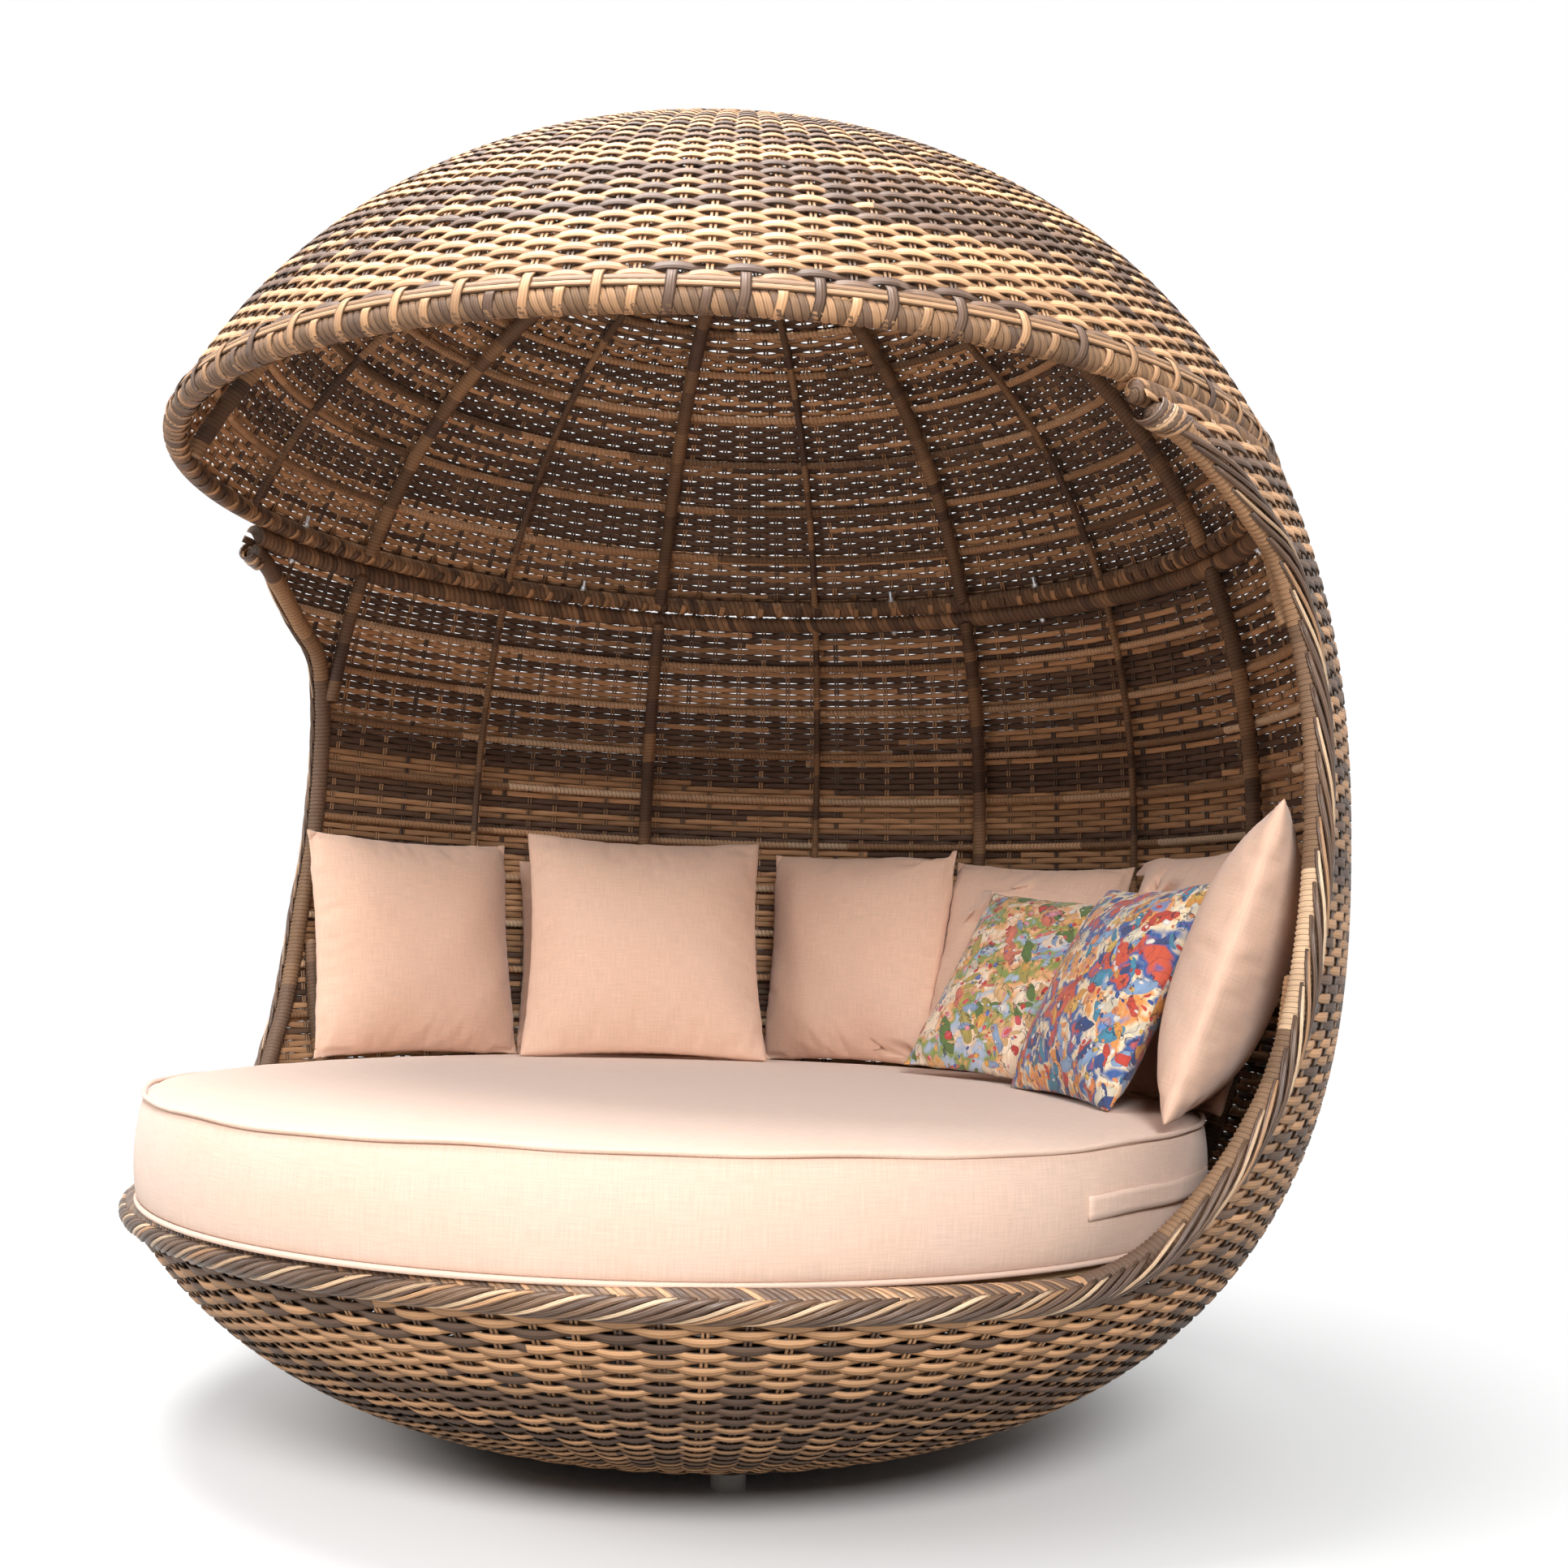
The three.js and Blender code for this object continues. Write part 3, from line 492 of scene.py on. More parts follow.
class Paint(Nodes):
    """The node tree of one material."""

    def __init__(self, name, roughness=0.5, **constants):
        self.material = bpy.data.materials.new(name)
        self.material.use_nodes = True
        super().__init__(self.material.node_tree)
        self.shader = self.tree.nodes["Principled BSDF"]
        self.set("Roughness", roughness)
        for key, value in constants.items():
            self.set(key.replace("_", " "), value)

    def set(self, name, value):
        self.feed(self.shader.inputs[name], value)

    def tint(self, colour, level):
        """Sets the base colour to a colour times a level."""
        self.set("Base Color", self.mix(1.0, colour, self.join(level, level, level), "MULTIPLY"))

    def bump(self, height, distance, strength):
        values = {"Height": height, "Distance": distance, "Strength": strength}
        self.set("Normal", self.node("ShaderNodeBump", "Normal", values=values))


def wicker_material(name, colours, roughness=0.5, ridges=3, gloss=0.25):
    """Resin wicker. U runs across a strand from one whole number to the next, V along it in metres."""
    paint = Paint(name, roughness, Specular_IOR_Level=gloss)
    across, along, _ = paint.uv("strand")
    tone, shade = paint.attribute("tone"), paint.attribute("shade")
    share = across.maths("FRACT")
    streak = paint.noise(paint.join(across * 3, along * 9, shade * 40), 1.0, 3.0)
    fine = paint.noise(paint.join(across * 14, along * 30, shade * 90), 1.0)
    stops = [(0.0, colours.dark), (0.5, colours.brown), (0.8, colours.tan), (1.0, colours.cream)]
    rise = (shade - 0.5) * 0.42 + (streak - 0.5) * 0.5 + (fine - 0.5) * 0.25
    # Painted shade: the base colour falls to 45% at each strand's edges, where neighbours meet, and to 80% in
    # the grooves between the ridges
    edge = abs(share - 0.5).smooth(0.34, 0.5, 1.0, 0.45)
    ridge = share.ridges(ridges)
    paint.tint(paint.ramp(stops, tone * 0.8), (1 + rise) * edge * ridge.smooth(0.0, 0.55, 0.8, 1.0))
    paint.set("Roughness", streak * 0.2 + roughness - 0.1)
    paint.bump(ridge * 0.7 + fine * 0.3, 0.0009, 0.8)
    return paint.material


def steel_material(name, colour):
    """Powder-coated steel."""
    paint = Paint(name)
    place = paint.object_place()
    speck, cloud = paint.noise(place, 420.0), paint.noise(place, 9.0, 3.0)
    paint.tint(colour, 0.82 + speck * 0.16 + cloud * 0.2)
    paint.set("Roughness", 0.38 + cloud * 0.25)
    paint.bump(speck, 0.0002, 0.5)
    return paint.material


def clouded_material(name, scale, colours, roughness, relief, strength, metallic=0.0):
    """A plain finish with a fine cloud of two colours."""
    paint = Paint(name, roughness, Metallic=metallic)
    cloud = paint.noise(paint.object_place(), scale, 3.0)
    paint.set("Base Color", paint.mix(cloud, *colours))
    paint.set("Roughness", roughness + cloud * 0.25)
    paint.bump(cloud, relief, strength)
    return paint.material


def plywood_material(name):
    paint = Paint(name, 0.6)
    x, y, z = paint.split(paint.object_place())
    grain = paint.noise(paint.join(x * 2.2, y * 34, z * 60), 1.0, 5.0, 0.6)
    paint.set("Base Color", paint.mix(grain.smooth(0.3, 0.7), (0.30, 0.18, 0.09), (0.52, 0.36, 0.2)))
    paint.set("Roughness", 0.5 + grain * 0.2)
    paint.bump(grain, 0.0004, 0.5)
    return paint.material


THREADS_PER_METRE = 700


def threads(across, along):
    """The relief of a plain weave."""
    return across.ridges(THREADS_PER_METRE).maths("MAXIMUM", along.ridges(THREADS_PER_METRE))


def linen_material(name, colour):
    """Slubby linen. The UV map is the cloth in metres."""
    paint = Paint(name, 0.88, Sheen_Weight=0.25, Sheen_Roughness=0.5)
    across, along, place = paint.uv("cloth")
    warp = paint.noise(paint.join(across * 620, along * 26), 1.0)
    weft = paint.noise(paint.join(across * 26, along * 620, 5.0), 1.0)
    cloud = paint.noise(place, 7.0, 3.0)
    slub, weave = (warp + weft) * 0.5, threads(across, along)
    level = 0.80 + slub.smooth(0.3, 0.7) * 0.16 + (cloud - 0.5) * 0.1 + weave * 0.06
    deep = tuple(part * share for part, share in zip(colour, (0.97, 0.95, 0.93)))
    paint.tint(paint.mix(cloud.smooth(0.3, 0.7), colour, deep), level)
    paint.bump(slub * 0.8 + weave * 0.5, 0.0005, 0.7)
    return paint.material


def even_stops(colours):
    return [(index / len(colours), colour) for index, colour in enumerate(colours)]


def print_material(name, turn, wash, dabs, blooms):
    """A painted print of washes, brush dabs and blooms in no particular order."""
    paint = Paint(name, 0.8, Sheen_Weight=0.15)
    across, along, place = paint.uv("cloth")
    drift = paint.noise(place, 26.0, 3.0, result="Color")
    bent = paint.vector("MULTIPLY_ADD", drift, (0.028, 0.028, 0.0), place)
    ground = paint.noise(bent, 10.0, 3.0, 0.6).smooth(0.3, 0.7)
    colour = paint.ramp(even_stops(wash), ground, "EASE")
    # Scale, angle, stretch, size of a dab, share of the dabs that show, colours
    layers = [
        (38.0, turn, 0.45, 0.5, 0.6, dabs), (64.0, turn + 1.4, 0.35, 0.42, 0.5, dabs),
        (30.0, turn, 0.9, 0.30, 0.5, blooms), (58.0, 0.3, 1.0, 0.32, 0.45, blooms[::-1]),
        (120.0, 0.9, 0.7, 0.3, 0.3, blooms),
    ]
    for scale, angle, stretch, size, cover, palette in layers:
        lying = {"Vector": bent, "Angle": angle}
        lying = paint.node("ShaderNodeVectorRotate", 0, {"rotation_type": "Z_AXIS"}, lying)
        cell = {"Vector": paint.vector("MULTIPLY", lying, (1.0, stretch, 1.0)), "Scale": scale}
        near = paint.node("ShaderNodeTexVoronoi", "Distance", values=cell)
        pick, chance, _ = paint.split(near.beside("Color"))
        dab = paint.ramp(even_stops(palette), pick, "CONSTANT")
        shade = paint.mix(near.smooth(0.0, size, 0.0, 0.35), dab, (0.1, 0.06, 0.05))
        colour = paint.mix((near < size) * (chance < cover), colour, shade)
    line = abs(paint.noise(bent, 30.0) - 0.5) < 0.008
    colour = paint.mix(line * 0.7, colour, (0.015, 0.015, 0.04))
    stroke = paint.noise(paint.join(across * 240, along * 40), 1.0, 3.0)
    weave = threads(across, along)
    paint.tint(colour, 0.54 + stroke * 0.6 + weave * 0.06)
    paint.bump(weave * 0.6 + stroke * 0.3, 0.0004, 0.6)
    return paint.material


GARDEN = (
    [(0.86, 0.62, 0.40), (0.42, 0.50, 0.66), (0.26, 0.32, 0.08), (0.80, 0.40, 0.18), (0.88, 0.70, 0.52)],
    [(0.12, 0.22, 0.05), (0.85, 0.52, 0.24), (0.50, 0.40, 0.10), (0.76, 0.22, 0.14), (0.90, 0.74, 0.56),
     (0.30, 0.42, 0.62)],
    [(0.70, 0.05, 0.04), (0.86, 0.34, 0.40), (0.92, 0.86, 0.80), (0.80, 0.10, 0.12), (0.12, 0.20, 0.58),
     (0.88, 0.45, 0.10)],
)
HARBOUR = (
    [(0.10, 0.28, 0.62), (0.80, 0.32, 0.08), (0.86, 0.72, 0.50), (0.04, 0.12, 0.36), (0.62, 0.10, 0.05)],
    [(0.02, 0.07, 0.24), (0.84, 0.40, 0.08), (0.88, 0.80, 0.62), (0.06, 0.30, 0.46), (0.66, 0.07, 0.04),
     (0.30, 0.48, 0.74)],
    [(0.90, 0.86, 0.80), (0.86, 0.55, 0.12), (0.70, 0.06, 0.04), (0.03, 0.10, 0.34), (0.88, 0.30, 0.10)],
)


# What a user would change


def length_property(name, description, default):
    return FloatProperty(name=name, description=description, default=default, unit="LENGTH")


def colour_property(name, description, default):
    return FloatVectorProperty(name=name, description=description, default=default, subtype="COLOR")


class DaybedSizes(bpy.types.PropertyGroup):
    """Sizes of the weave, the wraps and the soft pieces."""

    lower_stakes: IntProperty(
        name="Lower Stakes", description="Pairs of stakes round the lower shell", default=108
    )
    dome_stakes: IntProperty(
        name="Dome Stakes", description="Pairs of stakes round the dome's edge", default=128
    )
    row_pitch: length_property("Row Pitch", "From one woven row to the next", 0.0125)
    strand_width: length_property("Strand Width", "Width of a weaver", 0.0124)
    strand_thickness: length_property("Strand Thickness", "Thickness of a weaver", 0.0014)
    wave: length_property("Wave", "How far a weaver swings in and out round the stakes", 0.0031)
    stake_width: length_property("Stake Width", "Width of one stake", 0.0042)
    stake_gap: length_property("Stake Gap", "From the middle of a pair to each stake", 0.0029)
    wrap_pitch: length_property("Wrap Pitch", "Width of a wrap on the ribs", 0.007)
    pressure: FloatProperty(name="Pressure", description="Filling pressure of the pillows", default=4.0)


class DaybedColours(bpy.types.PropertyGroup):
    """Colours of the wicker and the cloth."""

    tan: colour_property("Tan", "Golden strands", (0.64, 0.36, 0.19))
    dark: colour_property("Dark", "Taupe strands", (0.135, 0.082, 0.058))
    brown: colour_property("Brown", "Mixed strands", (0.27, 0.155, 0.085))
    cream: colour_property("Cream", "Palest strands", (0.82, 0.60, 0.40))
    linen: colour_property("Linen", "Pillow covers", (0.83, 0.555, 0.415))
    mattress: colour_property("Mattress", "Mattress cover", (0.83, 0.60, 0.48))
    steel: colour_property("Steel", "Bare frame", (0.12, 0.075, 0.045))


MATERIALS = {}


def material(name):
    """The material of that name, made when it is first needed."""
    colours = bpy.context.scene.daybed_colours
    makers = {
        "wicker": (wicker_material, colours),
        "cord": (wicker_material, colours, 0.34, 2, 0.45),
        "steel": (steel_material, tuple(colours.steel)),
        "zinc": (clouded_material, 160.0, ((0.62, 0.66, 0.7), (0.82, 0.84, 0.86)), 0.24, 0.0002, 0.4, 0.9),
        "plywood": (plywood_material,),
        "rubber": (clouded_material, 240.0, ((0.46, 0.44, 0.42), (0.56, 0.54, 0.52)), 0.65, 0.0003, 0.5),
        "linen": (linen_material, tuple(colours.linen)),
        "mattress_linen": (linen_material, tuple(colours.mattress)),
        "print_1": (print_material, 0.5, *GARDEN),
        "print_2": (print_material, -0.9, *HARBOUR),
    }
    if name not in MATERIALS:
        maker, *values = makers[name]
        MATERIALS[name] = maker(name, *values)
    return MATERIALS[name]


# Weave


# Radius under which only every second stake goes on
HALF_STAKES_RADIUS = 0.5
# Steps of a weaver from one stake to the next
STAKE_STEPS = 4
# Length of a step of a stake and of a flat strand
STAKE_STEP = 0.024
STAKE_THICKNESS = 0.0026
# Heights up the back, and how much of the tan strands is left there
BACK_HEIGHTS, BACK_TAN = (0.98, 1.06, 1.2, 1.36, 1.5), (1, 1.5, 0.7, 0.5, 0.6)
# Where the back's weave is drawn tight, as an angle and a half width
TIGHT_ANGLE, TIGHT_WIDTH = 0.4, 0.36


def band_share(bands, row):
    """The share of tan strands at a row, from a list of counts of rows and shares."""
    row = row % sum(count for count, _ in bands)
    for count, share in bands:
        if row < count:
            return share
        row -= count
    return bands[-1][1]


def strand_tones(row, azimuth, bands, dice, reach, back, left):
    """Tone and shade of each vertex of one row, which is spliced from strands of two colours.

    Back is the angle of the shell's back, and left says how much of the tan strands is left there.
    """
    cuts = [-reach]
    while cuts[-1] < reach:
        cuts.append(cuts[-1] + dice.uniform(0.35, 1.5))
    picks = []
    for start, end in zip(cuts, cuts[1:]):
        middle = (start + end) / 2
        drift = 2.2 * math.sin(middle + 0.7) + 1.3 * math.sin(2 * middle + 2.1)
        behind = min(max(0.3 + math.cos(middle - back), 0), 1)
        share = band_share(bands, row + drift) * (1 + (left - 1) * behind)
        picks.append((1.0 if dice.random() < share else 0.0, dice.random()))
    slot = np.clip(np.searchsorted(cuts, azimuth, side="right") - 1, 0, len(picks) - 1)
    tan, shade = np.array(picks)[slot].T
    return np.where(tan > 0.5, 0.86 + 0.14 * shade, 0.12 * shade), shade


def woven_rows(name, rows, bands, seed, nodes):
    """Weavers that pass outside one stake and inside the next.

    A row is its number, its length along the profile, its stakes, and its reach from the back or None.
    """
    sizes = bpy.context.scene.daybed_sizes
    dice = random.Random(seed)
    pitches = [FULL_TURN / stakes / STAKE_STEPS for _, _, stakes, _ in rows]
    halves = [math.ceil((reach or math.pi) / pitch - 1e-6) for (_, _, _, reach), pitch in zip(rows, pitches)]
    mesh, grid, step, across = strips([2 * half for half in halves])
    places, uv, tone, shade = blank(grid)
    starts = np.searchsorted(grid, np.arange(len(rows) + 1))
    for index, (row, length, stakes, reach) in enumerate(rows):
        mine = slice(starts[index], starts[index + 1])
        limit = reach or math.pi
        azimuth = np.clip((step[mine] - halves[index]) * pitches[index], -limit, limit)
        back = 0 if reach else math.pi
        azimuth = azimuth + back
        swing = np.cos(azimuth * stakes / 2 + math.pi * row)
        swing = np.sign(swing) * np.abs(swing) ** 0.75
        lean = dice.uniform(-0.0002, 0.0002) + 0.0004 * np.sin(azimuth * 3 + row * 0.4)
        radius, height = (float(np.interp(length, LENGTHS, table)) for table in (RADII, HEIGHTS))
        # A weaver narrows where it turns round a stake, and widens on the outside, most in front
        slack = min(max((height - 1.08) / 0.25, 0), 1) if height > 0.6 else 0.35
        near = np.clip((np.abs(swing) - 0.5) / 0.5, 0, 1)
        bulge = np.sign(swing) * (0.05 + 0.22 * (0.5 - 0.5 * np.cos(azimuth)))
        tight = 0.8 * np.exp(-(((azimuth - TIGHT_ANGLE) / TIGHT_WIDTH) ** 2)) if reach else 0
        width = sizes.strand_width * (1.05 - (0.20 * slack * (1 - tight) - bulge) * near)
        along = length + lean + (across[mine] - 0.5) * width
        places[mine] = surface(azimuth, along, WEAVE_MIDDLE - sizes.wave * swing)
        uv[mine] = strand_uv(across[mine], azimuth * radius + row * 0.37)
        left = float(np.interp(height, BACK_HEIGHTS, BACK_TAN))
        tone[mine], shade[mine] = strand_tones(row, azimuth - back, bands, dice, limit, back, left)
    dress_mesh(mesh, places, uv, tone, shade)
    close_mesh(mesh, fill=False)
    thicken(piece(name, mesh, material("wicker"), nodes), sizes.strand_thickness)


def stake_strands(name, runs, seed, nodes, tan):
    """Pairs of straight stakes between the weavers. A run is an angle, a start and an end up the profile."""
    sizes = bpy.context.scene.daybed_sizes
    dice = random.Random(seed)
    pairs = [(*run, side) for run in runs for side in (-1, 1)]
    counts = [max(round((end - start) / STAKE_STEP), 1) for _, start, end, _ in pairs]
    mesh, grid, step, across = strips(counts)
    azimuth, start, end, side = np.array(pairs)[grid].T
    length = start + (end - start) * (step / np.asarray(counts)[grid])
    radius = np.maximum(np.interp(length, LENGTHS, RADII), 0.02)
    offset = side * sizes.stake_gap + (across - 0.5) * sizes.stake_width
    places = surface(azimuth + offset / radius, length, WEAVE_MIDDLE)
    picks = np.array([[1.0 if dice.random() < tan else 0.1, dice.random()] for _ in runs]).repeat(2, axis=0)
    tone = np.where(picks[:, 0] > 0.5, 0.75 + 0.2 * picks[:, 1], 0.15)
    dress_mesh(mesh, places, strand_uv(across, length), tone[grid], picks[grid, 1])
    close_mesh(mesh, fill=False)
    thicken(piece(name, mesh, material("cord"), nodes), STAKE_THICKNESS)


def flat_bands(name, lines, width, thickness, tones, nodes, spacing=0.02):
    """Flat strands laid along lines on the shells."""
    counts = [max(round(line.length / spacing), 2) for line in lines]
    mesh, grid, step, across = strips(counts)
    places, uv, _, _ = blank(grid)
    for index, line in enumerate(lines):
        mine = grid == index
        run = step[mine] / counts[index] * line.length
        centre, _, side, _ = line.at(run)
        if line.closed:
            last = step[mine] == counts[index]
            centre[last] = line.points[0]
            side[last] = line.at(np.zeros(1))[2][0]
        places[mine] = centre + side * ((across[mine] - 0.5) * width)[:, None]
        uv[mine] = strand_uv(across[mine], run)
    tone, shade = np.array(tones)[grid].T
    dress_mesh(mesh, places, uv, tone, shade)
    close_mesh(mesh, fill=False)
    thicken(piece(name, mesh, material("wicker"), nodes), thickness)


def tone_blocks(wraps, dice, shades, low, high):
    """Tones for a number of wraps, in blocks of one colour each."""
    table = []
    while len(table) < wraps:
        tone = dice.choice(shades)
        table += [(tone + dice.uniform(-0.04, 0.04), dice.random())] * dice.randint(low, high)
    return np.array(table[:wraps]).reshape(-1, 2)


def wound_tubes(name, lines, radius, pitch, seed, shades, nodes, sides, relief, blocks=(3, 12), steps=2,
                crest=None, starts=1, tones=None):
    """Round tubes wrapped with strands from end to end. The mesh follows the turns of the wrap."""
    dice = random.Random(seed)
    wraps = [max(round(line.length / pitch), 2) for line in lines]
    mesh, grid, step, across = strips([count * steps for count in wraps], sides)
    places, uv, tone, shade = blank(grid)
    ends = np.searchsorted(grid, np.arange(len(lines) + 1))
    for index, (line, count) in enumerate(zip(lines, wraps)):
        mine = slice(ends[index], ends[index + 1])
        turns = step[mine] / steps + across[mine] * starts
        run = turns * line.length / count
        centre, normal, side, _ = line.at(run)
        angle = across[mine] * FULL_TURN
        groove = step[mine] % steps == 0
        top = relief * 0.3 if crest is None else crest(run / line.length, angle)
        swell = radius + top - np.where(groove, 1.3 * relief, 0)
        if not line.closed:
            end = np.clip(np.minimum(run, line.length - run) / (0.7 * radius), 0, 1)
            swell = swell * np.sqrt(1 - (1 - end) ** 2)
        places[mine] = centre + swell[:, None] * turned(normal, side, angle)
        uv[mine] = np.stack((step[mine] / steps, angle * radius + turns * 0.11), -1)
        table = tone_blocks(count + 1, dice, shades, *blocks)
        if tones is not None:
            table[:, 0] = tones(line.at(np.linspace(0, line.length, count + 1))[0], table[:, 0])
        tone[mine], shade[mine] = table[np.clip((step[mine] / steps).astype(int), 0, count)].T
    dress_mesh(mesh, places, uv, tone, shade)
    close_mesh(mesh)
    piece(name, mesh, material("wicker"), nodes)


def lower_runs(stakes):
    """Where the lower shell's stakes run: an angle, and the start and end of each stretch of weave."""
    start, end = BASE_LENGTH + 0.01, JOINT_LENGTH - 0.008
    lengths = np.arange(start, end, 0.01)
    heights = np.interp(lengths, LENGTHS, HEIGHTS)
    reaches = np.array([weave_reach(height) or math.pi + 1 for height in heights])
    radii = np.interp(lengths, LENGTHS, RADII)
    runs = []
    for stake in range(stakes):
        azimuth = (FULL_TURN * stake / stakes + math.pi) % FULL_TURN - math.pi
        inside = (abs(azimuth) <= reaches) & ((radii > HALF_STAKES_RADIUS) | (stake % 2 == 0))
        edges = np.flatnonzero(np.diff(np.concatenate(([0], inside.astype(int), [0]))))
        for first, last in zip(edges[::2], edges[1::2]):
            if last - first > 2:
                runs.append((azimuth, lengths[first], lengths[last - 1]))
    return runs


# Counts of rows, and the share of tan strands in them
LOWER_BANDS = [
    (5, 0.65), (4, 0.35), (8, 0.8), (3, 0.4), (6, 0.85), (4, 0.35), (4, 0.65), (4, 0.35), (6, 0.75),
]
DOME_BANDS = [(3, 0.5), (6, 0.97), (6, 0.12), (3, 0.6), (4, 0.2), (4, 0.8), (6, 0.25), (3, 0.75), (5, 0.3)]


# Radii under which the dome goes on with half as many stakes
DOME_HALVINGS = (0.5, 0.24, 0.12)
# The two ways of a strap across the dome's edge: lengths above it, and depths
STRAP_OVER = [(0.034, 0.003), (0.026, -0.0006), (0.020, -0.003), (0.0075, -0.0034), (0.0, -0.0028)]
STRAP_UNDER = [(0.030, 0.004), (0.020, 0.0036), (0.0075, 0.003), (0.002, 0.0), (0.0, -0.002)]


class PieceOperator(bpy.types.Operator):
    """What the operators for the pieces share."""

    bl_options = {"REGISTER", "UNDO"}

    def execute(self, context):
        self.build(context.scene.daybed_sizes)
        return {"FINISHED"}


class DAYBED_OT_lower_weave(PieceOperator):
    """Weave the lower shell: the bowl and the half shell at the back"""

    bl_idname = "daybed.lower_weave"
    bl_label = "Lower Weave"

    def build(self, sizes):
        start, end = BASE_LENGTH + 0.016, JOINT_LENGTH - 0.014
        count = round((end - start) / sizes.row_pitch)
        bowl, back = [], []
        for row in range(count + 1):
            length = start + (end - start) * row / count
            radius, height = np.interp(length, LENGTHS, RADII), np.interp(length, LENGTHS, HEIGHTS)
            stakes = sizes.lower_stakes if radius > HALF_STAKES_RADIUS else sizes.lower_stakes // 2
            reach = weave_reach(height)
            (bowl if reach is None else back).append((row, length, stakes, reach))
        half = len(bowl) // 2
        for index, rows in enumerate((bowl[:half], bowl[half:], back[::2], back[1::2])):
            woven_rows(f"lower_weavers_{index + 1}", rows, LOWER_BANDS, 11 + index, ["lower_weave"])
        stake_strands("lower_stakes", lower_runs(sizes.lower_stakes), 21, ["lower_weave"], tan=0.72)


class DAYBED_OT_dome_weave(PieceOperator):
    """Weave the dome and bind its edge"""

    bl_idname = "daybed.dome_weave"
    bl_label = "Dome Weave"

    def build(self, sizes):
        start, end = CANOPY_LENGTH + 0.0262, CROWN_LENGTH - 0.03
        count = round((end - start) / sizes.row_pitch)
        rows = []
        for row in range(count + 1):
            length = start + (end - start) * row / count
            radius = np.interp(length, LENGTHS, RADII)
            halvings = sum(radius < limit for limit in DOME_HALVINGS)
            rows.append((row, length, sizes.dome_stakes // 2**halvings, None))
        for index, part in enumerate((rows[:22], rows[22:])):
            woven_rows(f"dome_weavers_{index + 1}", part, DOME_BANDS, 31 + index, ["canopy_weave"])
        runs = []
        above = slice(WAIST_INDEX + 1, None)
        narrow = [float(np.interp(-radius, -RADII[above], LENGTHS[above])) for radius in DOME_HALVINGS[1::-1]]
        limits = [end, *narrow]
        for stake in range(sizes.dome_stakes):
            tier = 0 if stake % 4 == 0 else 1 if stake % 2 == 0 else 2
            runs.append((FULL_TURN * stake / sizes.dome_stakes, CANOPY_LENGTH + 0.012, limits[tier] + 0.01))
        stake_strands("dome_stakes", runs, 41, ["canopy_weave"], tan=0.65)
        self.bind_edge(sizes)

    def bind_edge(self, sizes):
        """Two flat bands along the edge, and a strap over them at every stake."""
        dice = random.Random(51)
        bands = [hoop(CANOPY_LENGTH + level, -0.0004, steps=600) for level in (0.0075, 0.0155)]
        flat_bands("dome_edge_bands", bands, 0.0084, 0.0034, [(0.8, 0.4), (0.62, 0.7)], ["canopy_weave"])
        straps, tones = [], []
        radius, height = profile(np.interp(CANOPY_LENGTH, LENGTHS, TURNS), RING_DEPTH)
        outer = surface(0.0, CANOPY_LENGTH, 0.0) - surface(0.0, CANOPY_LENGTH, RING_DEPTH)
        tilt, bend = math.atan2(outer[2], outer[1]), RING_RADIUS + 0.0032
        for stake in range(sizes.dome_stakes):
            azimuth = FULL_TURN * stake / sizes.dome_stakes
            path = STRAP_OVER if stake % 2 else STRAP_UNDER
            points = [surface(azimuth, CANOPY_LENGTH + level, depth) for level, depth in path]
            for degrees in range(-15, -215, -20):
                angle = tilt + math.radians(degrees)
                twist = azimuth + 0.012 * (-degrees - 15) / 200 / radius
                reach, lift = radius + bend * math.cos(angle), height + bend * math.sin(angle)
                points.append((reach * math.sin(twist), reach * math.cos(twist) + AXIS_Y, lift))
            tangents = np.gradient(np.array(points), axis=0)
            east = np.array([math.cos(azimuth), -math.sin(azimuth), 0.0])
            straps.append(Line(points, np.cross(tangents, east)))
            tones.append((dice.choice((0.05, 0.1, 0.85, 0.95, 0.9)), dice.random()))
        flat_bands("dome_edge_straps", straps, 0.0135, 0.0016, tones, ["canopy_weave"], spacing=0.006)


def numbered(name, count):
    """The names of a number of like nodes."""
    return [f"{name}_{number}" for number in range(1, count + 1)]


